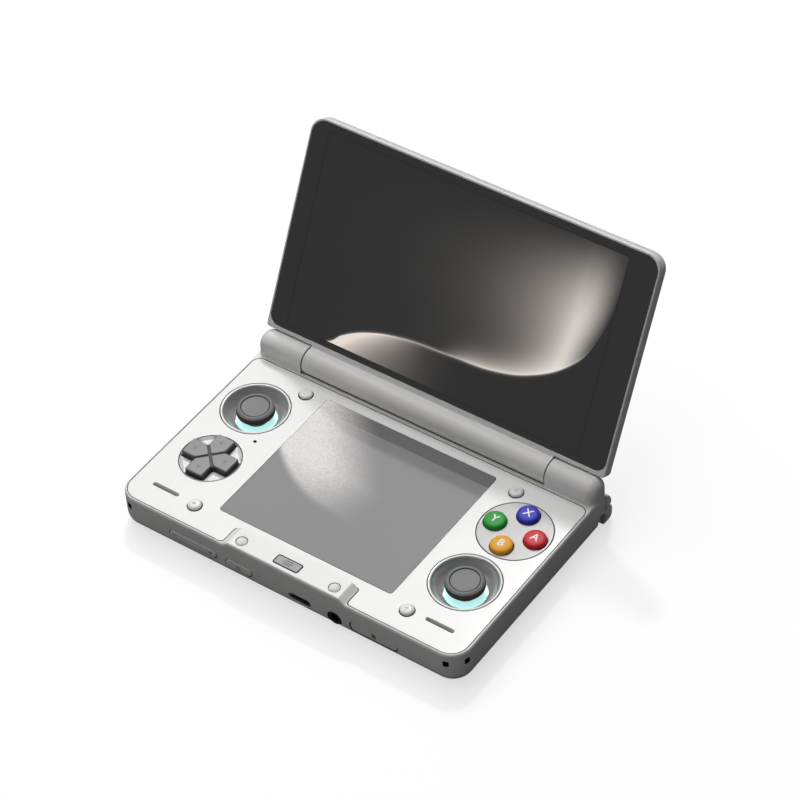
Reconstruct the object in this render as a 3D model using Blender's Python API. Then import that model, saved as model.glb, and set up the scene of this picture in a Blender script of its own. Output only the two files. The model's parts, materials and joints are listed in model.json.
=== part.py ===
"""A folding two-screen handheld game console, built as the separate pieces it comes apart into.

Frame: metres, +Z up, the console lying on its underside at z = 0, its front wall towards -Y. The origin
lies in the underside, straight below the middle of the lower screen. Dimensions below are in millimetres;
MM turns them into metres. The lid stands open by REST_OPENING degrees. Its pieces are drawn flat in the
lid's own frame, where Y runs from the hinge axis to the lid's far edge and Z points out of its screen, and
an empty on the hinge axis leans them back.
"""

import math

import bmesh
import bpy
from mathutils import Matrix, Vector

MM = 0.001
GAP = 0.3  # clearance between pieces that touch

# Lower body
HALF_WIDTH = 74.7
FRONT_Y, REAR_Y = -45.9, 48.4
BODY_HEIGHT = 15.0
FRONT_CORNER, REAR_CORNER = 8.1, 3.6
TOP_FILLET, BOTTOM_FILLET = 1.3, 5.0
WALL = 3.0
FLOOR_TOP = 3.3

# Face plate
PLATE_HALF_WIDTH = 73.4
PLATE_FRONT, PLATE_REAR = -44.7, 37.1
PLATE_FRONT_CORNER, PLATE_REAR_CORNER = 6.8, 3.2
PLATE_THICKNESS = 2.0
WINDOW_HALF = (37.84, 32.97)

# Raised front lip
LIP_HALF, LIP_RAMP, LIP_HEIGHT = 24.0, 3.0, 1.8
LIP_REAR = -36.6

# Hinge and lid
HINGE_Y, HINGE_RISE, BARREL_RADIUS = 43.39, 3.31, 5.21
BARREL_HALF = 53.74
KNUCKLE_END, KNUCKLE_ROUND = 74.5, 3.8
CLUTCH_RADIUS, PIN_RADIUS = 3.0, 1.8
REST_OPENING = 117.96
GLASS_AHEAD = 0.71  # how far the lid's glass stands in front of the hinge axis
LID_HALF_WIDTH = 74.6
LID_NEAR, LID_FAR = 5.8, 89.8
LID_NEAR_CORNER, LID_FAR_CORNER = 1.4, 6.4
LID_THICKNESS, LID_FILLET = 8.0, 5.0
GLASS_HALF_WIDTH, GLASS_NEAR, GLASS_FAR = 73.7, 7.51, 88.67

# Controls
STICKS = {"left": (-57.36, 14.7), "right": (55.96, -14.4)}
WELL_RADIUS, RING_RADIUS, CAP_RADIUS, CAP_DISC = 13.1, 7.8, 7.35, 5.85
STICK_PIVOT_Z = 7.3
DPAD = (-55.71, -14.44)
DPAD_DISH, DPAD_SPAN, DPAD_ARM = 11.75, 20.5, 7.6
BUTTON_CENTRE, BUTTON_REACH, BUTTON_RADIUS = (57.24, 14.73), 8.5, 4.1
BUTTONS = {"a": (1, 0), "b": (0, -1), "x": (0, 1), "y": (-1, 0)}
SMALL_BUTTONS = {"rear_left": (-45.8, 30.3), "rear_right": (47.2, 30.5),
                 "front_left": (-46.1, -36.0), "front_right": (46.5, -35.8)}
SMALL_RADIUS = 2.6
MEMBRANE_LOW, MEMBRANE_TOP = 9.3, 9.8
MENU_KEY = (0.0, -41.8, 10.4, 3.9)
LID_REST_X, LID_REST_Y, LID_REST_RADIUS = 20.2, -42.0, 2.1
SPEAKER_SLOT = (59.8, -35.2, 11.6, 1.5)
MICROPHONE = (-47.2, 1.0)

# Rubber feet, level with the underside, each as (from x, to x, middle y)
FEET = {"foot_front": (-52, 52, -33.5), "foot_rear_left": (-52, -20.3, 31.0),
        "foot_rear_right": (20.3, 52, 31.0)}
FOOT_WIDTH, FOOT_DEPTH = 5.0, 0.7

# Front wall, each as (middle x, middle z, width, height)
VOLUME = (-40.05, 7.5, 21.1, 3.5)
POWER = (-19.6, 6.9, 11.4, 3.5)
USB = (7.0, 5.8, 9.4, 3.2)
JACK = (22.1, 5.5, 2.9, 1.75)  # middle x, middle z, outer and inner radius
CARD = (38.85, 6.2, 20.1, 4.5)
LANYARD_FRONT_X, LANYARD_SIDE_Y, LANYARD_Z = 69.0, -40.1, 10.4
LANYARD_HALF = (1.1, 1.3)  # half width and half height of each lanyard hole

# Shoulder controls
SHOULDER_X = (53.2, 74.6)
BUMPER_NOTCH = (46.2, 6.9, 13.9)  # front, bottom and top
TRIGGER_NOTCH = (41.2, 7.2)  # front and top
TRIGGER_PIVOT = (46.5, 5.6)
END_DRAW = 0.1  # how far a shoulder piece's ends are drawn in towards its middle

HINGE_Z = BODY_HEIGHT + HINGE_RISE
PLATE_BOTTOM = BODY_HEIGHT - PLATE_THICKNESS
LEDGE_TOP = PLATE_BOTTOM - GAP
LIP_TOP = BODY_HEIGHT + LIP_HEIGHT


# ---------------------------------------------------------------- shapes

def arc(cu, cv, radius, start, end, steps):
    """Points on an arc from start to end degrees, both included."""
    turns = [math.radians(start + (end - start) * i / steps) for i in range(steps + 1)]
    return [(cu + radius * math.cos(t), cv + radius * math.sin(t)) for t in turns]


def circle(cu, cv, radius, steps=24):
    return arc(cu, cv, radius, 0, 360, steps)[:-1]


def rounded(u0, u1, v0, v1, front=1.0, rear=None, steps=4):
    """A rectangle with round corners: front is their radius at v0, rear at v1."""
    rear = front if rear is None else rear
    return (arc(u1 - front, v0 + front, front, -90, 0, steps)
            + arc(u1 - rear, v1 - rear, rear, 0, 90, steps)
            + arc(u0 + rear, v1 - rear, rear, 90, 180, steps)
            + arc(u0 + front, v0 + front, front, 180, 270, steps))


def pill(cu, cv, width, height, steps=6):
    """A slot with half-round ends, longer in u."""
    half, radius = (width - height) / 2, height / 2
    return (arc(cu + half, cv, radius, -90, 90, steps) + arc(cu - half, cv, radius, 90, 270, steps))


def along(axis, u, v, w):
    """A point from its two coordinates in a section and its place w along the axis."""
    return {"X": (w, u, v), "Y": (u, w, v), "Z": (u, v, w)}[axis]


def loft(rings, axis="Z"):
    """A closed solid through rings, each an outline and its place along the axis, all with as many points."""
    points = [along(axis, u, v, w) for outline, w in rings for u, v in outline]
    count = len(rings[0][0])
    faces = [tuple(range(count)), tuple(range((len(rings) - 1) * count, len(rings) * count))]
    for ring in range(len(rings) - 1):
        for i in range(count):
            j = (i + 1) % count
            low, high = ring * count, (ring + 1) * count
            faces.append((low + i, low + j, high + j, high + i))
    return points, faces


def prism(outline, w0, w1, axis="Z"):
    return loft([(outline, w0), (outline, w1)], axis)


def box(u0, u1, v0, v1, w0, w1):
    return prism([(u0, v0), (u1, v0), (u1, v1), (u0, v1)], w0, w1)


def turned(profile, cu, cv, axis="Z", steps=24):
    """A solid of revolution: profile is a list of (radius, place along the axis)."""
    return loft([(circle(cu, cv, radius, steps), w) for radius, w in profile], axis)


def hoop(profile, cu, cv, axis="Z", steps=24):
    """A ring turned from a closed profile of (radius, place along the axis), open in its middle."""
    points, faces, count = [], [], len(profile)
    for step in range(steps):
        turn = 2 * math.pi * step / steps
        points += [along(axis, cu + r * math.cos(turn), cv + r * math.sin(turn), w) for r, w in profile]
    for step in range(steps):
        here, there = step * count, (step + 1) % steps * count
        for i in range(count):
            j = (i + 1) % count
            faces.append((here + i, here + j, there + j, there + i))
    return points, faces


def fillet_levels(radius, steps=3):
    """(inset, depth) pairs along a quarter round, from the face it rounds, at depth 0, to the full outline."""
    turns = [math.pi / 2 * i / steps for i in range(steps + 1)]
    return [(radius * (1 - math.sin(t)), radius * (1 - math.cos(t))) for t in turns]


# ---------------------------------------------------------------- objects

def finish(name, colour, roughness, metallic=0.0):
    """A Principled material."""
    material = bpy.data.materials.new(name + "_finish")
    material.use_nodes = True
    shader = material.node_tree.nodes["Principled BSDF"]
    shader.inputs["Base Color"].default_value = (*colour, 1)
    shader.inputs["Roughness"].default_value = roughness
    shader.inputs["Metallic"].default_value = metallic
    material.diffuse_color = (*colour, 1)
    return material


WHITE, SHELL, BLACK = ((0.88, 0.88, 0.87), 0.5), ((0.42, 0.41, 0.39), 0.5), ((0.02, 0.02, 0.02), 0.4)
GREY, RUBBER, STEEL = ((0.2, 0.2, 0.2), 0.55), ((0.05, 0.05, 0.05), 0.8), ((0.6, 0.6, 0.6), 0.3, 1.0)
GREEN_BOARD, CYAN = ((0.02, 0.12, 0.06), 0.5), ((0.35, 0.95, 0.9), 0.4)


def piece(name, look, *shapes, origin=(0, 0, 0), parent=None):
    """One object from closed shapes in millimetres, with its origin at the point given."""
    body = bmesh.new()
    for points, faces in shapes:
        made = [body.verts.new((Vector(p) - Vector(origin)) * MM) for p in points]
        for face in faces:
            body.faces.new([made[i] for i in face])
    bmesh.ops.recalc_face_normals(body, faces=body.faces)
    mesh = bpy.data.meshes.new(name)
    body.to_mesh(mesh)
    body.free()
    if look:
        mesh.materials.append(finish(name, *look))
        mesh.shade_smooth()
        mesh.set_sharp_from_angle(angle=math.radians(35))
    made = bpy.data.objects.new(name, mesh)
    bpy.context.scene.collection.objects.link(made)
    made.location = Vector(origin) * MM
    made.parent = parent
    return made


def change(target, operation, *shapes):
    """Cuts shapes out of a piece, or joins them to it, with a Boolean on a hidden tool object."""
    tool = piece(f"{target.name}_{operation.lower()}_{len(target.modifiers)}", None, *shapes,
                 parent=target.parent)
    tool.hide_render = True
    tool.display_type = "WIRE"
    modifier = target.modifiers.new(tool.name, "BOOLEAN")
    modifier.operation = operation
    modifier.solver = "EXACT"
    modifier.object = tool
    return target


def cut(target, *shapes):
    return change(target, "DIFFERENCE", *shapes)


def join(target, *shapes):
    for shape in shapes:
        change(target, "UNION", shape)
    return target


# ---------------------------------------------------------------- lower body

def body_outline(inset=0.0, rear_y=REAR_Y):
    """The lower body's plan, drawn in by inset."""
    return rounded(-HALF_WIDTH + inset, HALF_WIDTH - inset, FRONT_Y + inset, rear_y - inset,
                   max(FRONT_CORNER - inset, 1), max(REAR_CORNER - inset, 1))


def plate_outline(grow=0.0):
    """The face plate's plan, with the notch that the raised lip fills."""
    half, front, rear = PLATE_HALF_WIDTH + grow, PLATE_FRONT - grow, PLATE_REAR + grow
    outer = rounded(-half, half, front, rear, PLATE_FRONT_CORNER, PLATE_REAR_CORNER)
    notch, depth = LIP_HALF + LIP_RAMP + 0.2 - grow, LIP_REAR + 0.1 - grow
    return outer + [(-notch, front), (-notch, depth), (notch, depth), (notch, front)]


def base_frame():
    foot = [(body_outline(inset), depth) for inset, depth in fillet_levels(BOTTOM_FILLET)]
    crown = [(body_outline(inset), BODY_HEIGHT - depth)
             for inset, depth in reversed(fillet_levels(TOP_FILLET, 2))]
    frame = piece("base_frame", SHELL, loft(foot + crown))
    ramp = LIP_HALF + LIP_RAMP
    lip = [(-ramp, 12.0), (ramp, 12.0), (ramp, BODY_HEIGHT), (LIP_HALF, LIP_TOP), (-LIP_HALF, LIP_TOP),
           (-ramp, BODY_HEIGHT)]
    drawn_in = [(u, v - TOP_FILLET if v > BODY_HEIGHT else v) for u, v in lip]
    join(frame, loft([(drawn_in, FRONT_Y + 0.05), (lip, FRONT_Y + TOP_FILLET), (lip, LIP_REAR)], "Y"))
    for side in (-1, 1):
        inner, outer = side * (BARREL_HALF + 0.25), side * KNUCKLE_END
        rings = [(knuckle_section(0), inner)]
        rings += [(knuckle_section(inset), outer - side * depth)
                  for inset, depth in reversed(fillet_levels(KNUCKLE_ROUND))]
        join(frame, loft(rings, "X"))
    cut(frame, prism(body_outline(WALL, PLATE_REAR + 1.3), FLOOR_TOP, LEDGE_TOP - 0.9))
    cut(frame, prism(rounded(-71.4, 71.4, -42.4, 35.2, 7.5, 2), LEDGE_TOP - 2, LEDGE_TOP + 0.1))
    cut(frame, prism(plate_outline(GAP), LEDGE_TOP, LIP_TOP + 3))
    cut(frame, box(-51.5, 51.5, 33.0, REAR_Y - 2.4, FLOOR_TOP, 11.0))
    cut(frame, prism(rounded(-64, 64, -36, 33, 3), -1, FLOOR_TOP + 1))
    cut(frame, prism(rounded(-68 - GAP, 68 + GAP, -40 - GAP, 37 + GAP, 4), -1, 2.1))
    trough = BARREL_HALF + 0.25
    cut(frame, prism(circle(HINGE_Y, HINGE_Z, BARREL_RADIUS + 0.45, 32), -trough, trough, "X"))
    cut(frame, box(-trough, trough, HINGE_Y + 1, REAR_Y + 1, HINGE_Z - BARREL_RADIUS - 0.2, HINGE_Z + 9))
    for side in (-1, 1):
        bore = sorted((side * (BARREL_HALF - 1), side * 70.1))
        cut(frame, prism(circle(HINGE_Y, HINGE_Z, 3.3, 20), *bore, "X"))
        x0, x1 = sorted((side * (SHOULDER_X[0] - 0.6), side * 76))
        front, bottom, top = BUMPER_NOTCH
        cut(frame, box(x0, x1, front, REAR_Y + 1, bottom, top))
        front, top = TRIGGER_NOTCH
        cut(frame, box(x0, x1, front, REAR_Y + 1, -1, top))
    cut(frame, *[prism(pill(x, z, width + 0.6, height + 0.6), FRONT_Y - 1, FRONT_Y + WALL + 1, "Y")
                 for x, z, width, height in (VOLUME, POWER, USB, CARD)],
        prism(circle(JACK[0], JACK[1], JACK[2] + GAP), FRONT_Y - 1, FRONT_Y + 15, "Y"))
    x, y, width, depth = MENU_KEY
    cut(frame, prism(rounded(x - width / 2 - 0.25, x + width / 2 + 0.25, y - depth / 2 - 0.25,
                             y + depth / 2 + 0.25, 0.9), 11.2, LIP_TOP + 1))
    cut(frame, *[prism(circle(side * LID_REST_X, LID_REST_Y, LID_REST_RADIUS + 0.25, 16), LIP_TOP - 0.9,
                       LIP_TOP + 1) for side in (-1, 1)])
    wide, tall = LANYARD_HALF
    for side in (-1, 1):
        x, y, z = side * LANYARD_FRONT_X, LANYARD_SIDE_Y, LANYARD_Z
        cut(frame, box(x - wide, x + wide, FRONT_Y - 1, y + wide, z - tall, z + tall))
        across = sorted((x - side * wide, side * (HALF_WIDTH + 1)))
        cut(frame, box(*across, y - wide, y + wide, z - tall, z + tall))
    cut(frame, *[box(-22 + 5 * i, -19 + 5 * i, REAR_Y - 4, REAR_Y + 1, 4.6, 9.4) for i in range(9)])
    cut(frame, *[prism(circle(x, y, 1.0, 12), 1, FLOOR_TOP + 1) for x, y in screw_places()])
    return frame


def knuckle_section(inset):
    """A hinge knuckle's section in Y and Z: a round top over a foot that sinks into the body."""
    radius = BARREL_RADIUS - inset
    return [(HINGE_Y + radius, 13.0)] + arc(HINGE_Y, HINGE_Z, radius, 0, 180, 14) + [
        (HINGE_Y - radius, 13.0)]


def bottom_cover():
    cover = piece("bottom_cover", SHELL, prism(rounded(-68, 68, -40, 37, 3.7), 0, 1.8))
    cut(cover, *[prism(pill(0, 22 + 2.6 * i, 22, 1.2, 3), -1, 3) for i in range(6)])
    cut(cover, *[prism(foot_outline(*span, GAP), -1, FOOT_DEPTH + GAP) for span in FEET.values()])
    for x, y in screw_places():
        cut(cover, turned([(1.9, -1), (1.9, 1.1)], x, y, steps=16))
        cut(cover, turned([(1.0, 0.5), (1.0, 3)], x, y, steps=12))
    return cover


def screw_places():
    return [(sx * 65.5, y) for sx in (-1, 1) for y in (-37.6, 34.6)]


def screws():
    for index, (x, y) in enumerate(screw_places(), 1):
        screw = piece(f"screw_{index}", STEEL,
                      turned([(1.6, 0.15), (1.6, 0.8), (0.7, 0.8), (0.7, 3.1)], x, y, steps=12))
        cut(screw, box(x - 0.9, x + 0.9, y - 0.2, y + 0.2, -0.2, 0.45))


def face_plate():
    plate = piece("face_plate", WHITE, prism(plate_outline(0), PLATE_BOTTOM, BODY_HEIGHT))
    through = (PLATE_BOTTOM - 1, BODY_HEIGHT + 1)
    half_x, half_y = WINDOW_HALF
    holes = [prism(rounded(-half_x, half_x, -half_y, half_y, 1.8, steps=3), *through)]
    holes += [prism(circle(*at, WELL_RADIUS + 0.15, 40), *through) for at in STICKS.values()]
    holes += [prism(circle(*button_place(name), BUTTON_RADIUS + 0.25), *through) for name in BUTTONS]
    holes += [prism(circle(*at, SMALL_RADIUS + 0.25, 20), *through) for at in SMALL_BUTTONS.values()]
    x, y, width, height = SPEAKER_SLOT
    holes += [prism(pill(side * x, y, width, height, 4), *through) for side in (-1, 1)]
    holes += [prism(circle(*MICROPHONE, 0.5, 8), *through)]
    cut(plate, *holes)
    cut(plate, prism(circle(*DPAD, DPAD_DISH, 40), BODY_HEIGHT - 1, BODY_HEIGHT + 1))
    cut(plate, prism(cross(*DPAD, DPAD_SPAN + 0.7, DPAD_ARM + 0.7), PLATE_BOTTOM - 1, BODY_HEIGHT - 0.5))
    return plate


def cross(cu, cv, span, arm):
    """A plus sign's outline."""
    s, a = span / 2, arm / 2
    corners = [(a, -s), (a, -a), (s, -a), (s, a), (a, a), (a, s), (-a, s), (-a, a), (-s, a), (-s, -a),
               (-a, -a), (-a, -s)]
    return [(cu + u, cv + v) for u, v in corners]


def button_place(name):
    across, along_y = BUTTONS[name]
    return BUTTON_CENTRE[0] + across * BUTTON_REACH, BUTTON_CENTRE[1] + along_y * BUTTON_REACH


def lower_screen():
    half_x, half_y = WINDOW_HALF
    glass = rounded(-half_x + GAP, half_x - GAP, -half_y + GAP, half_y - GAP, 1.6, steps=3)
    piece("lower_glass", BLACK, prism(glass, BODY_HEIGHT - 1.2, BODY_HEIGHT))
    piece("lower_display", BLACK, box(-37.2, 37.2, -32.4, 32.4, BODY_HEIGHT - 3.5, BODY_HEIGHT - 1.5))


def stick(side):
    """A stick's well, light ring, module, two gimbal pieces and cap."""
    x, y = STICKS[side]
    rim = WELL_RADIUS - 0.5
    bowl = [(WELL_RADIUS - 0.1, PLATE_BOTTOM), (WELL_RADIUS - 0.1, BODY_HEIGHT), (rim, BODY_HEIGHT),
            (rim - 0.7, 14.1), (rim - 1.6, 12.6), (rim - 2.6, 11.2), (rim - 3.7, 10.4), (8.0, 10.1),
            (8.0, 9.4), (9.4, 9.4), (11.4, 11.2), (12.2, PLATE_BOTTOM)]
    piece(f"stick_well_{side}", WHITE, hoop(bowl, x, y, steps=40))
    ring = [(4.6, 9.3), (RING_RADIUS - 0.1, 9.3), (RING_RADIUS - 0.1, 10.1), (4.6, 10.1)]
    piece(f"light_ring_{side}", CYAN, hoop(ring, x, y, steps=32))
    module = piece(f"stick_module_{side}", STEEL, box(x - 7, x + 7, y - 7, y + 7, 3.6, 9.0))
    cut(module, box(x - 5.5, x + 5.5, y - 5.5, y + 5.5, 4.8, 10))
    low, high = STICK_PIVOT_Z - 1, STICK_PIVOT_Z + 1
    origin = (x, y, STICK_PIVOT_Z)
    yoke = piece(f"stick_yoke_{side}", STEEL,
                 box(x - 4.2, x + 4.2, y - 4.2, y + 4.2, low, high), origin=origin)
    join(yoke, prism(circle(y, STICK_PIVOT_Z, 0.8, 10), x - 5.2, x + 5.2, "X"))
    cut(yoke, box(x - 3.1, x + 3.1, y - 3.1, y + 3.1, low - 1, high + 1))
    pivot = piece(f"stick_pivot_{side}", STEEL,
                  box(x - 2.5, x + 2.5, y - 2.5, y + 2.5, low, high), origin=origin)
    join(pivot, prism(circle(x, y, 1.2, 12), high - 0.5, 13.4))
    top = BODY_HEIGHT + 1.2
    cap = piece(f"stick_cap_{side}", GREY, turned(
        [(2.6, 10.8), (2.6, 12.8), (CAP_RADIUS - 0.5, 12.8), (CAP_RADIUS, 13.3), (CAP_RADIUS, 15.0),
         (CAP_RADIUS - 0.5, 15.9), (CAP_DISC, top), (CAP_DISC - 0.5, top - 0.25), (2.0, top - 0.6)], x, y, steps=32),
        origin=origin)
    cut(cap, prism(circle(x, y, 1.5, 12), 10, 14.4))


def dpad():
    x, y = DPAD
    top = BODY_HEIGHT + 1.9
    origin = (x, y, PLATE_BOTTOM)
    cap = piece("dpad", GREY, loft([(cross(x, y, DPAD_SPAN, DPAD_ARM), PLATE_BOTTOM - 0.1),
                                    (cross(x, y, DPAD_SPAN, DPAD_ARM), top - 0.4),
                                    (cross(x, y, DPAD_SPAN - 0.8, DPAD_ARM - 0.8), top)]), origin=origin)
    blade = [(-0.45, top + 0.1), (0.0, top - 0.6), (0.45, top + 0.1)]
    grooves = []
    for turn in (45, 135):
        points, faces = prism(blade, -4.4, 4.4, "X")
        lean = Matrix.Rotation(math.radians(turn), 3, "Z")
        grooves.append(([tuple(lean @ Vector(p) + Vector((x, y, 0))) for p in points], faces))
    for groove in grooves:
        cut(cap, groove)
    piece("dpad_pivot", RUBBER, turned([(2.5, 10.2), (2.5, 12.0), (1.2, 12.6)], x, y, steps=16), origin=origin)
    sheet = rounded(x - 11, x + 11, y - 11, y + 11, 4, steps=2)
    membrane = piece("dpad_membrane", RUBBER, prism(sheet, MEMBRANE_LOW, MEMBRANE_TOP))
    join(membrane, *[turned([(2.4, 9.5), (1.8, 11.0)], x + 7 * u, y + 7 * v, steps=12)
                     for u, v in BUTTONS.values()])


def face_buttons():
    colours = {"a": (0.75, 0.05, 0.07), "b": (0.9, 0.42, 0.03), "x": (0.06, 0.06, 0.6), "y": (0.03, 0.4, 0.07)}
    for name, colour in colours.items():
        x, y = button_place(name)
        piece(f"button_{name}", (colour, 0.35), turned(
            [(4.8, 11.6), (4.8, 12.6), (BUTTON_RADIUS, 12.6), (BUTTON_RADIUS, 16.3), (BUTTON_RADIUS - 0.6, 16.75),
             (1.6, 16.9)], x, y), origin=(x, y, 12.6))
    x, y = BUTTON_CENTRE
    sheet = rounded(x - 12.5, x + 12.5, y - 12.5, y + 12.5, 5, steps=2)
    membrane = piece("button_membrane", RUBBER, prism(sheet, MEMBRANE_LOW, MEMBRANE_TOP))
    join(membrane, *[turned([(3.2, 9.5), (2.4, 10.4)], *button_place(name), steps=12) for name in BUTTONS])
    for name, (x, y) in SMALL_BUTTONS.items():
        piece(f"small_button_{name}", WHITE, turned(
            [(3.3, 12.0), (3.3, 12.6), (SMALL_RADIUS, 12.6), (SMALL_RADIUS, 15.9), (SMALL_RADIUS - 0.5, 16.3)],
            x, y, steps=20), origin=(x, y, 12.6))


def front_controls():
    x, y, width, depth = MENU_KEY
    key = rounded(x - width / 2, x + width / 2, y - depth / 2, y + depth / 2, 0.8, steps=3)
    piece("menu_key", GREY, prism(key, 11.8, LIP_TOP + 0.15), origin=(x, y, 11.8))
    rest = [(LID_REST_RADIUS, LIP_TOP - 0.6), (LID_REST_RADIUS, LIP_TOP + 0.1), (LID_REST_RADIUS - 0.7, LIP_TOP + 0.4)]
    for label, side in (("left", -1), ("right", 1)):
        piece(f"lid_rest_{label}", RUBBER, turned(rest, side * LID_REST_X, LID_REST_Y, steps=16))
    for name, (x, z, width, height), pivot in (("volume_rocker", VOLUME, 2.0), ("power_button", POWER, 0.0)):
        key = prism(pill(x, z, width, height), FRONT_Y - 0.35, FRONT_Y + 2.4, "Y")
        piece(name, SHELL, key, origin=(x, FRONT_Y + pivot, z))
    x, z, width, height = CARD
    piece("card_door", SHELL, prism(pill(x, z, width, height), FRONT_Y + 0.05, FRONT_Y + 2.2, "Y"),
          origin=(x, FRONT_Y, z))
    x, z, width, height = USB
    port = piece("usb_port", STEEL, prism(pill(x, z, width, height), FRONT_Y + 0.3, FRONT_Y + 7.4, "Y"))
    cut(port, prism(pill(x, z, width - 0.7, height - 0.7), FRONT_Y - 1, FRONT_Y + 6.6, "Y"))
    join(port, box(x - 3.2, x + 3.2, FRONT_Y + 1.6, FRONT_Y + 7.0, z - 0.35, z + 0.35))
    x, z, outer, inner = JACK
    jack = piece("headphone_jack", BLACK, prism(circle(x, z, outer), FRONT_Y + 0.1, FRONT_Y + 14, "Y"))
    cut(jack, prism(circle(x, z, inner, 16), FRONT_Y - 1, FRONT_Y + 12.5, "Y"))


def shoulder_controls():
    """Each side's bumper, and below it the hooked trigger on its own pin line."""
    for label, side in (("left", -1), ("right", 1)):
        x0, x1 = (side * SHOULDER_X[0], side * SHOULDER_X[1])
        bumper = [(46.9, 7.3), (50.5, 7.3), (50.3, 9.2), (49.7, 11.0), (48.7, 12.6), (47.5, 13.5), (46.9, 13.5)]
        piece(f"bumper_{label}", SHELL, shoulder_loft(bumper, x0, x1, side), origin=(side * 63.7, 48.4, 10))
        y, z = TRIGGER_PIVOT
        trigger = [(y - 1.1, z - 0.4), (y + 0.3, z - 1.0), (y + 0.7, z - 2.4), (y - 0.1, z - 3.5),
                   (y - 1.5, z - 4.0), (y - 1.6, z - 5.2), (y + 3.1, z - 5.1), (y + 4.1, z - 4.0),
                   (y + 4.4, z - 1.6), (y + 4.0, z + 1.1), (y - 1.1, z + 1.1)]
        piece(f"trigger_{label}", SHELL, shoulder_loft(trigger, x0, x1, side), origin=(side * 63.7, y, z))


def shoulder_loft(section, x0, x1, side):
    """A section carried along X, its ends rounded by drawing it in towards its middle."""
    cu = sum(u for u, _ in section) / len(section)
    cv = sum(v for _, v in section) / len(section)
    small = [(u + (cu - u) * END_DRAW, v + (cv - v) * END_DRAW) for u, v in section]
    return loft([(small, x0), (section, x0 + side), (section, x1 - 1.2 * side), (small, x1)], "X")


def insides():
    board = piece("main_board", GREEN_BOARD, box(-69, 69, -39.6, 34, 8.0, 9.0))
    cut(board, *[prism(circle(*at, 10.8), 7, 10) for at in STICKS.values()])
    cut(board, box(18.4, 25.8, -41, -31, 7, 10))
    piece("battery", BLACK, prism(rounded(-36, 36, -28, 10, 1.5, steps=2), 2.4, 7.6))
    housing = piece("fan_housing", BLACK, box(-15, 15, 12, 42, 3.5, 7.7))
    cut(housing, prism(circle(0, 25, 12.2, 32), 3, 6.9))
    cut(housing, box(-10, 10, 30, 43, 4.3, 6.9))
    blades = []
    for blade in range(9):
        turn = 40 * blade
        blades += arc(0, 25, 4.2, turn, turn + 20, 2) + arc(0, 25, 11.4, turn + 26, turn + 32, 1)
    piece("fan_rotor", BLACK, prism(blades, 3.8, 6.5), origin=(0, 25, 5.2))
    for label, side in (("left", -1), ("right", 1)):
        x, y, _, _ = SPEAKER_SLOT
        case = rounded(side * x - 7, side * x + 7, y - 3.5, y + 3.5, 1.5, steps=2)
        piece(f"speaker_{label}", BLACK, prism(case, 9.3, 12.4))


def foot_outline(x0, x1, y, grow=0.0):
    """A rubber foot's plan: a strip with round ends."""
    half = FOOT_WIDTH / 2 + grow
    return rounded(x0 - grow, x1 + grow, y - half, y + half, FOOT_WIDTH / 2 - 0.3)


def feet():
    for name, span in FEET.items():
        piece(name, RUBBER, prism(foot_outline(*span), 0.0, FOOT_DEPTH))


def hinge_clutches():
    """A friction clutch in each knuckle, and its pin, which runs into the lid's barrel."""
    inner, outer, pin_end = BARREL_HALF + 0.35, 69.7, 44.0
    for label, side in (("left", -1), ("right", 1)):
        case = prism(circle(HINGE_Y, HINGE_Z, CLUTCH_RADIUS, 20), *sorted((side * inner, side * outer)), "X")
        clutch = piece(f"hinge_clutch_{label}", STEEL, case)
        pin = sorted((side * pin_end, side * (inner + 2)))
        join(clutch, prism(circle(HINGE_Y, HINGE_Z, PIN_RADIUS, 16), *pin, "X"))


# ---------------------------------------------------------------- lid

def lid_outline(inset=0.0):
    return rounded(-LID_HALF_WIDTH + inset, LID_HALF_WIDTH - inset, LID_NEAR + inset, LID_FAR - inset,
                   max(LID_NEAR_CORNER - inset, 0.3), max(LID_FAR_CORNER - inset, 0.8))


def lid(hinge):
    """The lid's pieces in its own frame: rim and hinge barrel, back cover, glass and display."""
    rim_top, split, back = GLASS_AHEAD + 0.15, -1.7, GLASS_AHEAD - LID_THICKNESS
    frame = piece("lid_frame", SHELL, loft([(lid_outline(), split), (lid_outline(), rim_top - 0.4),
                                            (lid_outline(0.35), rim_top)]), parent=hinge)
    web_end, web_back = LID_NEAR - GAP, -4.7
    web = [(1.0, web_back), (web_end, web_back), (web_end, split), (8.6, split), (8.6, rim_top), (1.0, rim_top)]
    join(frame, prism(web, -BARREL_HALF + 0.15, BARREL_HALF - 0.15, "X"))
    join(frame, prism(circle(0, 0, BARREL_RADIUS, 32), -BARREL_HALF + 0.15, BARREL_HALF - 0.15, "X"))
    glass = (-GLASS_HALF_WIDTH, GLASS_HALF_WIDTH, GLASS_NEAR, GLASS_FAR)
    cut(frame, prism(rounded(glass[0] - 0.25, glass[1] + 0.25, glass[2] - 0.25, glass[3] + 0.25, 4.2), -0.6, 3))
    cut(frame, prism(rounded(-69, 69, 10.4, 86, 2), split - 1, 0))
    cut(frame, prism(circle(0, 0, PIN_RADIUS + 0.35, 16), -BARREL_HALF - 1, BARREL_HALF + 1, "X"))
    piece("lid_glass", BLACK, prism(rounded(*glass, 4.0), GLASS_AHEAD - 1.0, GLASS_AHEAD), parent=hinge)
    piece("upper_display", BLACK, box(-68, 68, 11, 85.5, -2.6, -0.6), parent=hinge)
    rings = [(lid_outline(inset), back + depth) for inset, depth in fillet_levels(LID_FILLET)]
    cover = piece("lid_cover", SHELL, loft(rings + [(lid_outline(), split - GAP)]), parent=hinge)
    cut(cover, prism(rounded(-71, 71, 9.8, 86.2, 2.5), back + 1.4, 0))


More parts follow.
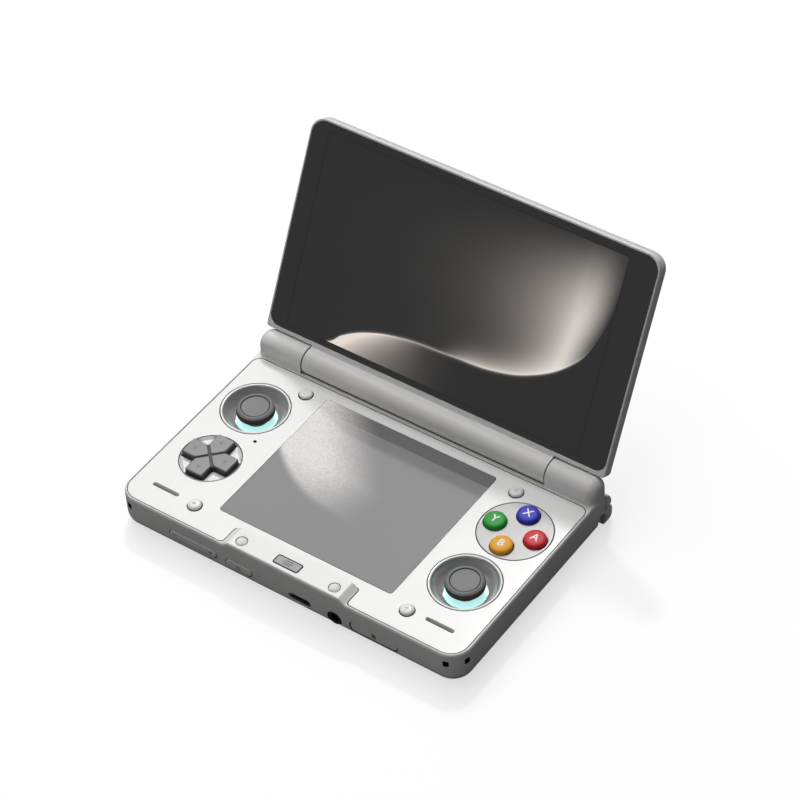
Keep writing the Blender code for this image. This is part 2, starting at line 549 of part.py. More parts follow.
def main():
    for thing in list(bpy.data.objects):
        bpy.data.objects.remove(thing, do_unlink=True)
    base_frame()
    bottom_cover()
    screws()
    face_plate()
    lower_screen()
    for side in STICKS:
        stick(side)
    dpad()
    face_buttons()
    front_controls()
    shoulder_controls()
    insides()
    feet()
    hinge_clutches()
    hinge = bpy.data.objects.new("lid_hinge", None)
    bpy.context.scene.collection.objects.link(hinge)
    hinge.location = Vector((0, HINGE_Y, HINGE_Z)) * MM
    hinge.rotation_euler = (math.radians(180 - REST_OPENING), 0, 0)
    lid(hinge)


main()
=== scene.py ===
"""A folding two-screen handheld console: fine surfaces, finishes and stage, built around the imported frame.

Sizes are in millimetres and turn into metres when a mesh is made. X runs to the right, Y to the hinge, Z up.
The lid's pieces are drawn in the lid's own frame: Y from the hinge axis to the far edge, Z out of the screen.
"""
import json
import logging
import math
from dataclasses import dataclass, field
from enum import Enum, IntEnum
from typing import Callable, Iterable, Optional, Sequence, Union

import bmesh
import bpy
import numpy as np
from mathutils import Matrix, Vector, geometry


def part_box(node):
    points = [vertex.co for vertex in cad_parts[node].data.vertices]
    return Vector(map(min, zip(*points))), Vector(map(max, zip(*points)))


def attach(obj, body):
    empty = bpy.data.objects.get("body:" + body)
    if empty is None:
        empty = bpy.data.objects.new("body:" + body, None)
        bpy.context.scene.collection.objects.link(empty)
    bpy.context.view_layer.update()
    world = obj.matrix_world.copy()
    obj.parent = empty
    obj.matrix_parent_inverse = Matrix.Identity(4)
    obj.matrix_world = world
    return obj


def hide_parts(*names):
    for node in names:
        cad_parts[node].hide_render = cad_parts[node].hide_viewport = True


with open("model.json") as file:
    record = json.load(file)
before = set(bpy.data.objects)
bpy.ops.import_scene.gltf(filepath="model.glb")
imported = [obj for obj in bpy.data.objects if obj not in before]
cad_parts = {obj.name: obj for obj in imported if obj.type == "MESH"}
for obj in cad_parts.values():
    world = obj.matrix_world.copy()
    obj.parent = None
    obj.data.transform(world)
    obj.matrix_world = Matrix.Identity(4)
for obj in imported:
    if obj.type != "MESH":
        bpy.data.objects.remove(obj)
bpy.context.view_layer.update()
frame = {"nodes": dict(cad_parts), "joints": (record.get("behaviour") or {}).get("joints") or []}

LOG = logging.getLogger("console")
MM = 0.001
GAP = 0.3           # between the moulded halves
WELD = 2e-6         # points this near, in metres, become one
SHARP = 32.0        # degrees at which a side is shaded sharp
TOLERANCE = 1e-9
Array = np.ndarray


class Carve(Enum):
    """What a tool does to the piece it meets."""

    CUT = "DIFFERENCE"
    JOIN = "UNION"


class Side(Enum):
    """The console's two sides, each with its direction along X."""

    LEFT = -1
    RIGHT = 1

    @property
    def label(self) -> str:
        """The side's name as the frame's nodes spell it."""
        return self.name.lower()


def extent(node: str) -> Array:
    """A frame node's lowest and highest corners in millimetres, one above the other."""
    return np.array(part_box(node)) / MM


# ------------------------------------------------------------------ outlines

def arc(centre: Sequence[float], radius: float, start: float, end: float, steps: int = 12) -> Array:
    """Points on a circle's arc: centre + radius * (cos t, sin t), t running evenly from start to end.

    Args:
        centre: The circle's middle.
        radius: Its radius.
        start: First angle in degrees.
        end: Last angle in degrees.
        steps: Number of equal turns between them.

    Returns:
        An array of steps + 1 points.
    """
    turn = np.radians(np.linspace(start, end, steps + 1))
    return np.stack([centre[0] + radius * np.cos(turn), centre[1] + radius * np.sin(turn)], axis=1)


def circle(centre: Sequence[float], radius: float, steps: int = 72) -> Array:
    """A closed circle, anticlockwise, without its first point repeated."""
    return arc(centre, radius, 0, 360, steps)[:-1]


def rounded(x0: float, x1: float, y0: float, y1: float, front: float, rear: Optional[float] = None,
            steps: int = 12) -> Array:
    """A rectangle with quarter-round corners, anticlockwise from its front right corner.

    Args:
        x0: Left side.
        x1: Right side.
        y0: Front side.
        y1: Rear side.
        front: Radius of the two corners at y0.
        rear: Radius of the two corners at y1, the same as front if left out.
        steps: Steps in each corner.

    Returns:
        The closed outline.
    """
    rear = front if rear is None else rear
    return np.concatenate([
        arc((x1 - front, y0 + front), front, -90, 0, steps),
        arc((x1 - rear, y1 - rear), rear, 0, 90, steps),
        arc((x0 + rear, y1 - rear), rear, 90, 180, steps),
        arc((x0 + front, y0 + front), front, 180, 270, steps)])


def pill(centre: Sequence[float], width: float, height: float, steps: int = 14) -> Array:
    """A slot with half-round ends, longer along its first axis."""
    reach, radius = (width - height) / 2, height / 2
    return np.concatenate([arc((centre[0] + reach, centre[1]), radius, -90, 90, steps),
                           arc((centre[0] - reach, centre[1]), radius, 90, 270, steps)])


def cross(centre: Sequence[float], span: float, arm: float) -> Array:
    """A plus sign's outline, anticlockwise."""
    s, a = span / 2, arm / 2
    quarter = np.array([(s, -a), (s, a), (a, a)])
    turns = [np.array([[c, -n], [n, c]]) for c, n in ((1, 0), (0, 1), (-1, 0), (0, -1))]
    return np.concatenate([quarter @ turn.T for turn in turns]) + centre


def grown(loop: Array, by: Union[float, Array]) -> Array:
    """An anticlockwise outline moved outwards.

    Each point moves along the mitre of its two sides: the sum of the sides' outward normals over one plus
    their dot product, times the distance.

    Args:
        loop: The closed outline.
        by: The distance, negative to draw it in.

    Returns:
        The moved outline, with as many points.
    """
    side = np.roll(loop, -1, axis=0) - loop
    length = np.maximum(np.linalg.norm(side, axis=1, keepdims=True), TOLERANCE)
    out = np.stack([side[:, 1], -side[:, 0]], axis=1) / length
    before = np.roll(out, 1, axis=0)
    mitre = (out + before) / np.maximum(1 + (out * before).sum(axis=1, keepdims=True), 0.35)
    return loop + mitre * by


def softened(points: Sequence[Sequence[float]], radius: float, steps: int = 6, closed: bool = True) -> Array:
    """A polyline with its corners rounded.

    Each corner becomes the parabola (1-t)^2 a + 2t(1-t) p + t^2 b between a point a on the side before it
    and a point b on the side after it, both a radius away or just under half the side if that is shorter.

    Args:
        points: The corners.
        radius: How far from the corner the round starts.
        steps: Points along each round.
        closed: Whether the line ends where it starts. An open line keeps its two ends.

    Returns:
        The rounded line.
    """
    p = np.asarray(points, dtype=float)
    back, ahead = np.roll(p, 1, axis=0) - p, np.roll(p, -1, axis=0) - p
    back_length = np.linalg.norm(back, axis=1, keepdims=True)
    ahead_length = np.linalg.norm(ahead, axis=1, keepdims=True)
    a = p + back / back_length * np.minimum(radius, 0.48 * back_length)
    b = p + ahead / ahead_length * np.minimum(radius, 0.48 * ahead_length)
    t = np.linspace(0, 1, steps)[None, :, None]
    curve = (1 - t) ** 2 * a[:, None] + 2 * t * (1 - t) * p[:, None] + t ** 2 * b[:, None]
    if closed:
        return curve.reshape(-1, p.shape[1])
    return np.concatenate([p[:1], curve[1:-1].reshape(-1, p.shape[1]), p[-1:]])


def fillet(radius: float, steps: int = 8, depth: Optional[float] = None) -> Array:
    """A quarter round as (inset, drop) pairs, from the face it rounds to the side it meets.

    The inset is radius * (1 - sin t) and the drop depth * (1 - cos t), t from 0 to 90 degrees. The depth is
    the radius where it isn't given, and otherwise the round is a quarter of an ellipse.
    """
    t = np.linspace(0, math.pi / 2, steps + 1)
    return np.stack([radius * (1 - np.sin(t)), (depth or radius) * (1 - np.cos(t))], axis=1)


def smooth(t: Array) -> Array:
    """The step t * t * (3 - 2 t), held at 0 and 1 outside its range."""
    t = np.clip(t, 0, 1)
    return t * t * (3 - 2 * t)


def level(loop: Array, height: Union[float, Array]) -> Array:
    """A flat outline lifted to a height, as 3-D points."""
    return np.column_stack([loop, np.broadcast_to(height, len(loop))])


def upright(loop: Array, y: Union[float, Array]) -> Array:
    """An outline in X and Z, stood up at a place along Y."""
    return np.column_stack([loop[:, 0], np.broadcast_to(y, len(loop)), loop[:, 1]])


def crosswise(loop: Array, x: float) -> Array:
    """An outline in Y and Z, stood up at a place along X."""
    return np.column_stack([np.full(len(loop), x), loop])


def within(points: Array, loop: Array) -> Array:
    """Which points lie inside a loop, by the parity of the sides to their right."""
    a, b, p = loop[None], np.roll(loop, -1, axis=0)[None], points[:, None]
    crosses = (a[..., 1] > p[..., 1]) != (b[..., 1] > p[..., 1])
    rise = np.where(np.abs(b[..., 1] - a[..., 1]) < 1e-12, 1e-12, b[..., 1] - a[..., 1])
    at = a[..., 0] + (p[..., 1] - a[..., 1]) * (b[..., 0] - a[..., 0]) / rise
    return (crosses & (p[..., 0] < at)).sum(axis=1) % 2 == 1


def triangulated(outer: Array, holes: Sequence[Array], creases: Sequence[Array] = ()) -> tuple[Array, Array]:
    """The Delaunay triangles of a flat outline with holes.

    Args:
        outer: The outline.
        holes: Outlines inside it, left open.
        creases: Lines inside it that the triangles' sides follow, each as its two ends.

    Returns:
        The points and the triangles' corner numbers.
    """
    loops = [outer, *holes]
    starts = np.cumsum([0] + [len(loop) for loop in loops])
    rows = [np.arange(len(loop)) for loop in loops]
    edges = np.concatenate([np.stack([row, np.roll(row, -1)], axis=1) + start for row, start in zip(rows, starts)])
    corners = np.concatenate([*loops, *creases])
    ends = np.arange(2 * len(creases)).reshape(-1, 2) + starts[-1]
    sides = np.concatenate([edges, ends]).tolist()
    made = geometry.delaunay_2d_cdt([Vector(p) for p in corners], sides, [], 1, 1e-6)
    points, faces = np.array(made[0], dtype=float), np.array(made[2])
    middles = points[faces].mean(axis=1)
    keep = np.ones(len(faces), dtype=bool)
    for hole in holes:
        keep &= ~within(middles, hole)
    return points, faces[keep]


# ------------------------------------------------------------------ surfaces

@dataclass
class Surface:
    """Grids and flat sheets gathered into one mesh, in millimetres."""

    points: list[Array] = field(default_factory=list)
    faces: list[list[int]] = field(default_factory=list)
    marks: list[int] = field(default_factory=list)
    count: int = 0

    def take(self, points: Array, faces: Array, mark: int = 0) -> "Surface":
        """Adds points and the faces between them, under a material number."""
        self.points.append(points.reshape(-1, 3))
        self.faces += (faces + self.count).tolist()
        self.marks += [mark] * len(faces)
        self.count += points.size // 3
        return self

    def grid(self, rings: Array, mark: int = 0, closed: bool = True) -> "Surface":
        """Quads between rings of points: corner (i, j) joins (i, j+1), (i+1, j+1) and (i+1, j).

        Args:
            rings: An array of rings by points by 3.
            mark: The material number.
            closed: Whether each ring's last point joins its first.

        Returns:
            The surface itself.
        """
        rings = np.asarray(rings)
        rows, columns = rings.shape[:2]
        row = np.arange(rows - 1)[:, None] * columns
        here = np.arange(columns if closed else columns - 1)[None]
        there = (here + 1) % columns
        quads = np.stack([row + here, row + there, row + there + columns, row + here + columns], axis=-1)
        return self.take(rings, quads.reshape(-1, 4), mark)

    def sheet(self, outer: Array, holes: Sequence[Array], height: Union[float, Callable[[Array], Array]],
              mark: int = 0, creases: Sequence[Array] = ()) -> "Surface":
        """A flat or gently raised sheet with holes, its height a number or a function of its plan."""
        points, faces = triangulated(outer, holes, creases)
        lift = height(points) if callable(height) else height
        return self.take(level(points, lift), faces, mark)

    def cap(self, ring: Array, mark: int = 0) -> "Surface":
        """One face across a ring."""
        return self.take(ring, np.arange(len(ring))[None], mark)

    def tube(self, rings: Array, mark: int = 0) -> "Surface":
        """A closed solid: a grid through rings with a cap on each end."""
        rings = np.asarray(rings)
        return self.grid(rings, mark).cap(rings[0], mark).cap(rings[-1], mark)

    def turned(self, profile: Array, centre: Sequence[float], steps: int = 96, mark: int = 0,
               ring: bool = False) -> "Surface":
        """A profile of (radius, height) turned about a vertical line: (x + r cos t, y + r sin t, z).

        Args:
            profile: The profile's points.
            centre: Where the line stands.
            steps: Steps round the turn.
            mark: The material number.
            ring: Whether the profile is itself closed, as a hoop's is.

        Returns:
            The surface itself.
        """
        profile = np.asarray(profile, dtype=float)
        if ring:
            profile = np.concatenate([profile, profile[:1]])
        turn = np.linspace(0, 2 * math.pi, steps, endpoint=False)[None]
        r, z = profile[:, :1], profile[:, 1:]
        rings = np.stack([centre[0] + r * np.cos(turn), centre[1] + r * np.sin(turn), z + 0 * turn], axis=-1)
        return self.grid(rings, mark)

    def block(self, loop: Array, low: float, high: float, low_round: float = 0.0, high_round: float = 0.0,
              mark: int = 0, steps: int = 5) -> "Surface":
        """An outline carried upwards, with quarter-round edges at its foot and its top."""
        foot, head = (fillet(radius, steps if radius else 1) for radius in (low_round, high_round))
        rings = [level(grown(loop, -inset), low + drop) for inset, drop in foot]
        rings += [level(grown(loop, -inset), high - drop) for inset, drop in head[::-1]]
        return self.tube(rings, mark)

    def moved(self, change: Callable[[Array], Array]) -> "Surface":
        """Puts every point through a function of an array of points."""
        self.points = [change(points) for points in self.points]
        return self

    def object(self, name: str, materials: Sequence[bpy.types.Material] = (),
               sharp: float = SHARP) -> bpy.types.Object:
        """The finished mesh object.

        Args:
            name: The object's name.
            materials: One material for each mark used.
            sharp: Edges that turn more than this many degrees are sharp.

        Returns:
            The object, at the origin, welded and facing out.
        """
        mesh = bpy.data.meshes.new(name)
        mesh.from_pydata((np.concatenate(self.points) * MM).tolist(), [], self.faces)
        for material in materials:
            mesh.materials.append(material)
        mesh.polygons.foreach_set("material_index", self.marks)
        welded(mesh)
        shaded(mesh, sharp)
        made = bpy.data.objects.new(name, mesh)
        bpy.context.scene.collection.objects.link(made)
        return made


def welded(mesh: bpy.types.Mesh) -> None:
    """Makes near points one, drops the faces that collapse and turns the rest out."""
    work = bmesh.new()
    work.from_mesh(mesh)
    bmesh.ops.remove_doubles(work, verts=work.verts, dist=WELD)
    bmesh.ops.dissolve_degenerate(work, dist=WELD / 4, edges=work.edges)
    bmesh.ops.recalc_face_normals(work, faces=work.faces)
    work.to_mesh(mesh)
    work.free()


def shaded(mesh: bpy.types.Mesh, sharp: float = SHARP) -> None:
    """Shades a mesh smooth between the sides that turn more than some degrees."""
    mesh.shade_smooth()
    mesh.set_sharp_from_angle(angle=math.radians(sharp))


def carved(target: bpy.types.Object, tool: Surface, how: Carve = Carve.CUT) -> None:
    """Cuts a surface out of an object, or joins it on, and keeps the result as the object's mesh."""
    cutter = tool.object(target.name + "_tool")
    step = target.modifiers.new("carve", "BOOLEAN")
    step.operation, step.solver, step.object = how.value, "EXACT", cutter
    result = evaluated(target)
    target.modifiers.clear()
    target.data = result
    bpy.data.objects.remove(cutter, do_unlink=True)
    shaded(result)


def evaluated(made: bpy.types.Object) -> bpy.types.Mesh:
    """A new mesh of an object as its modifiers or its letters make it."""
    return bpy.data.meshes.new_from_object(made.evaluated_get(bpy.context.evaluated_depsgraph_get()))


def places(mesh: bpy.types.Mesh) -> Array:
    """A mesh's points, one to a row."""
    points = np.empty(len(mesh.vertices) * 3)
    mesh.vertices.foreach_get("co", points)
    return points.reshape(-1, 3)


def roomy(node: str, gap: float, radius: float, steps: int = 12) -> Array:
    """A frame node's plan with a gap round it and rounded corners."""
    (x0, y0, _), (x1, y1, _) = extent(node)
    return rounded(x0 - gap, x1 + gap, y0 - gap, y1 + gap, radius, steps=steps)


def plan_middle(node: str) -> Array:
    """The middle of a frame node in plan."""
    return extent(node).mean(axis=0)[:2]


def fitted(made: bpy.types.Object, body: str, slot: str, *replaced: str) -> None:
    """Evens an object's shading, sets it on its body, hides the frame nodes it stands for, and reports it.

    Args:
        made: The finished object.
        body: The body it rides on.
        slot: The record's material slot that its finish belongs to. Not used.
        replaced: The frame nodes it stands for.
    """
    even = made.modifiers.new("even_shading", "WEIGHTED_NORMAL")
    even.keep_sharp = True
    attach(made, body)
    if replaced:
        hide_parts(*replaced)
    LOG.info("%s: %d faces, rides on %s", made.name, len(made.data.polygons), body)


# ------------------------------------------------------------------ materials

@dataclass
class Wire:
    """A value between shader nodes, with arithmetic that adds the nodes for it."""

    tree: bpy.types.NodeTree
    socket: bpy.types.NodeSocket

    def math(self, operation: str, *others: Union["Wire", float]) -> "Wire":
        """This value and others through one Math node."""
        node = self.tree.nodes.new("ShaderNodeMath")
        node.operation = operation
        for place, value in enumerate((self, *others)):
            if isinstance(value, Wire):
                self.tree.links.new(value.socket, node.inputs[place])
            else:
                node.inputs[place].default_value = value
        return Wire(self.tree, node.outputs[0])

    def __add__(self, other: Union["Wire", float]) -> "Wire":
        """The sum."""
        return self.math("ADD", other)

    def __sub__(self, other: Union["Wire", float]) -> "Wire":
        """The difference."""
        return self.math("SUBTRACT", other)

    def __mul__(self, other: Union["Wire", float]) -> "Wire":
        """The product."""
        return self.math("MULTIPLY", other)

    def __truediv__(self, other: Union["Wire", float]) -> "Wire":
        """The quotient."""
        return self.math("DIVIDE", other)

    def step(self, low: float, high: float) -> "Wire":
        """A smooth step from 0 at low to 1 at high, the other way round if low is the greater."""
        node = self.tree.nodes.new("ShaderNodeMapRange")
        node.interpolation_type = "SMOOTHSTEP"
        node.inputs["From Min"].default_value = min(low, high)
        node.inputs["From Max"].default_value = max(low, high)
        node.inputs["To Min"].default_value = float(low > high)
        node.inputs["To Max"].default_value = float(low <= high)
        self.tree.links.new(self.socket, node.inputs["Value"])
        return Wire(self.tree, node.outputs[0])

    def curve(self, *points: tuple[float, float]) -> "Wire":
        """A smooth curve through points, both axes 0 to 1."""
        node = self.tree.nodes.new("ShaderNodeFloatCurve")
        line = node.mapping.curves[0]
        line.points[0].location, line.points[1].location = points[0], points[-1]
        for point in points[1:-1]:
            line.points.new(*point)
        node.mapping.update()
        self.tree.links.new(self.socket, node.inputs["Value"])
        return Wire(self.tree, node.outputs[0])

    def mix(self, first: Union["Wire", Sequence[float]], second: Union["Wire", Sequence[float]]) -> "Wire":
        """A colour between two, this value saying how far along."""
        node = self.tree.nodes.new("ShaderNodeMix")
        node.data_type = "RGBA"
        self.tree.links.new(self.socket, node.inputs[0])
        for place, value in ((6, first), (7, second)):
            if isinstance(value, Wire):
                self.tree.links.new(value.socket, node.inputs[place])
            else:
                node.inputs[place].default_value = (*value, 1)
        return Wire(self.tree, node.outputs[2])


def glossy(name: str, base: tuple[float, float, float],
           roughness: float) -> tuple[bpy.types.Material, bpy.types.Node]:
    """A new node material and its Principled shader, lit from within at full strength.

    Args:
        name: The material's name.
        base: The colour under its gloss.
        roughness: How far its gloss is spread.

    Returns:
        The material and the shader.
    """
    material = bpy.data.materials.new(name)
    material.use_nodes = True
    shader = material.node_tree.nodes["Principled BSDF"]
    shader.inputs["Base Color"].default_value = (*base, 1)
    shader.inputs["Roughness"].default_value = roughness
    shader.inputs["Emission Strength"].default_value = 1.0
    return material, shader


@dataclass(frozen=True)
class Finish:
    """A moulded or machined surface: its colour, gloss and the grain of its skin."""

    name: str
    colour: tuple[float, float, float]
    roughness: float = 0.5
    metallic: float = 0.0
    coat: float = 0.0
    coat_roughness: float = 0.15
    grain: float = 2600.0       # grains of the skin along a metre
    relief: float = 0.05        # strength of their bump
    relief_depth: float = 5e-5  # its depth in metres
    mottle: float = 0.03        # share by which the colour drifts
    drift: float = 60.0         # drifts along a metre
    gloss_drift: float = 0.12   # how far the roughness drifts
    stretch: tuple[float, float, float] = (1.0, 1.0, 1.0)
    glow: float = 0.0
    specular: float = 0.5

    def build(self) -> bpy.types.Material:
        """The finish as a node material.

        Two noises on Object coordinates drive it. A broad one drifts the colour and the roughness, and a
        fine one, stretched for brushed metal, bumps the surface.

        Returns:
            The material.
        """
        material = bpy.data.materials.new(self.name)
        material.use_nodes = True
        tree = material.node_tree
        shader = tree.nodes["Principled BSDF"]
        for socket, value in (("Metallic", self.metallic), ("Coat Weight", self.coat),
                              ("Coat Roughness", self.coat_roughness), ("Specular IOR Level", self.specular)):
            shader.inputs[socket].default_value = value
        place = self.coordinates(tree)
        broad = self.noise(tree, place, self.drift, 3.0)
        darker = tuple(c * (1 - self.mottle) for c in self.colour)
        lighter = tuple(min(1.0, c * (1 + self.mottle)) for c in self.colour)
        tree.links.new(broad.mix(darker, lighter).socket, shader.inputs["Base Color"])
        gloss = (broad - 0.5) * self.gloss_drift + self.roughness
        tree.links.new(gloss.socket, shader.inputs["Roughness"])
        bump = tree.nodes.new("ShaderNodeBump")
        bump.inputs["Strength"].default_value = self.relief
        bump.inputs["Distance"].default_value = self.relief_depth
        tree.links.new(self.noise(tree, place, self.grain, 2.0).socket, bump.inputs["Height"])
        tree.links.new(bump.outputs[0], shader.inputs["Normal"])
        if self.glow:
            shader.inputs["Emission Color"].default_value = (*self.colour, 1)
            shader.inputs["Emission Strength"].default_value = self.glow
        material.diffuse_color = (*self.colour, 1)
        return material

    def coordinates(self, tree: bpy.types.NodeTree) -> bpy.types.NodeSocket:
        """Object coordinates, stretched as the finish asks."""
        source = tree.nodes.new("ShaderNodeTexCoord")
        mapping = tree.nodes.new("ShaderNodeMapping")
        mapping.inputs["Scale"].default_value = self.stretch
        tree.links.new(source.outputs["Object"], mapping.inputs["Vector"])
        return mapping.outputs[0]

    @staticmethod
    def noise(tree: bpy.types.NodeTree, place: bpy.types.NodeSocket, scale: float, detail: float) -> Wire:
        """A noise of a given scale, centred on one half."""
        node = tree.nodes.new("ShaderNodeTexNoise")
        node.inputs["Scale"].default_value = scale
        node.inputs["Detail"].default_value = detail
        tree.links.new(place, node.inputs["Vector"])
        return Wire(tree, node.outputs[0])


WHITE = Finish("white_face", (0.83, 0.828, 0.815), 0.42, coat=0.5, coat_roughness=0.12, mottle=0.008, relief=0.03)
DISC_WHITE = Finish("button_disc_white", (0.58, 0.573, 0.56), 0.5, coat=0.3, mottle=0.01, relief=0.03)
SHELL = Finish("shell_plastic", (0.80, 0.792, 0.78), 0.42, coat=0.25, coat_roughness=0.3, mottle=0.015, relief=0.06)
KEY_SHELL = Finish("side_key_plastic", (0.82, 0.812, 0.80), 0.4, coat=0.2, mottle=0.02, relief=0.05)
BOWL = Finish("well_bowl", (0.45, 0.41, 0.408), 0.3, metallic=0.3, coat=0.3, mottle=0.02, grain=3200.0, relief=0.04)
RING_LIGHT = Finish("ring_light", (0.58, 0.98, 0.95), 0.35, mottle=0.01, relief=0.02, glow=0.72)
STICK = Finish("stick_rubber", (0.058, 0.058, 0.06), 0.55, coat=0.05, coat_roughness=0.4, grain=4200.0, relief=0.12)
STICK_TOP = Finish("stick_top", (0.175, 0.175, 0.177), 0.52, coat=0.08, coat_roughness=0.4, grain=5000.0, relief=0.06)
DPAD_GREY = Finish("dpad_plastic", (0.16, 0.16, 0.162), 0.4, coat=0.25, coat_roughness=0.3, grain=3600.0, relief=0.08)
DPAD_SIDE = Finish("dpad_side", (0.03, 0.03, 0.031), 0.5, grain=3600.0, relief=0.08)
MENU_GREY = Finish("menu_key_plastic", (0.235, 0.235, 0.235), 0.4, coat=0.3, grain=3000.0)
MENU_MARK = Finish("menu_mark", (0.1, 0.1, 0.1), 0.5, grain=3000.0)
SOFT_WHITE = Finish("lid_rest_rubber", (0.83, 0.83, 0.82), 0.62, grain=3000.0, relief=0.05)
FOOT_RUBBER = Finish("foot_rubber", (0.035, 0.035, 0.036), 0.8, grain=2400.0, relief=0.3, mottle=0.12)
# Black plastic for the headphone jack and the port's tongue, and painted shade: the walls of gaps, holes and pockets in
# the light shell, plate, keys and lid take it to stand for the shade inside them.
BLACK_AND_GAP_SHADE = Finish("black_plastic", (0.012, 0.012, 0.013), 0.45, grain=3000.0, relief=0.08, mottle=0.1)
STEEL = Finish("brushed_steel", (0.56, 0.56, 0.57), 0.3, metallic=1.0, grain=900.0, relief=0.15,
               stretch=(1.0, 9.0, 9.0))
FAINT = Finish("faint_legend", (0.5, 0.5, 0.49), 0.5, grain=3000.0)
ARROW = Finish("dpad_legend", (0.1, 0.1, 0.1), 0.35, grain=3000.0)
LEGEND = Finish("white_legend", (0.9, 0.9, 0.9), 0.4, grain=3000.0, relief=0.02)
FAINT_DARK = Finish("side_legend", (0.22, 0.215, 0.21), 0.5, grain=3000.0)
FEET = ("foot_front", "foot_rear_left", "foot_rear_right")

INNER = {
    Finish("circuit_board", (0.02, 0.13, 0.07), 0.4, coat=0.5, grain=1500.0, relief=0.3, mottle=0.25, drift=500.0):
        ("main_board",),
    Finish("battery_wrap", (0.03, 0.03, 0.035), 0.35, grain=900.0, relief=0.1, mottle=0.1): ("battery",),
    Finish("fan_plastic", (0.02, 0.02, 0.022), 0.5, grain=2500.0, relief=0.12, mottle=0.1):
        ("fan_housing", "fan_rotor"),
    Finish("speaker_mesh", (0.02, 0.02, 0.02), 0.7, grain=3800.0, relief=0.6, mottle=0.3, drift=2400.0):
        ("speaker_left", "speaker_right"),
    Finish("membrane_rubber", (0.045, 0.045, 0.05), 0.8, grain=2500.0, relief=0.2, mottle=0.1):
        ("dpad_membrane", "button_membrane", "dpad_pivot"),
    Finish("stick_module_steel", (0.5, 0.5, 0.5), 0.35, metallic=1.0, grain=1200.0, relief=0.12, stretch=(1, 7, 7)):
        tuple(f"stick_{part}_{side}" for part in ("module", "yoke", "pivot") for side in ("left", "right")),
    Finish("clutch_steel", (0.42, 0.42, 0.43), 0.3, metallic=1.0, grain=1000.0, relief=0.15, stretch=(9, 1, 1)):
        ("hinge_clutch_left", "hinge_clutch_right"),
    Finish("display_panel", (0.015, 0.015, 0.016), 0.25, grain=3000.0, relief=0.02, mottle=0.1):
        ("lower_display", "upper_display"),
}

SMALL_MARKS = {"rear_left": "ring", "rear_right": "bars", "front_left": "dot", "front_right": "cross"}
SMALL_RADIUS = 2.6
BUTTON_COLOURS = {"a": (0.72, 0.02, 0.03), "b": (0.88, 0.4, 0.015),
                  "x": (0.03, 0.035, 0.52), "y": (0.012, 0.36, 0.035)}


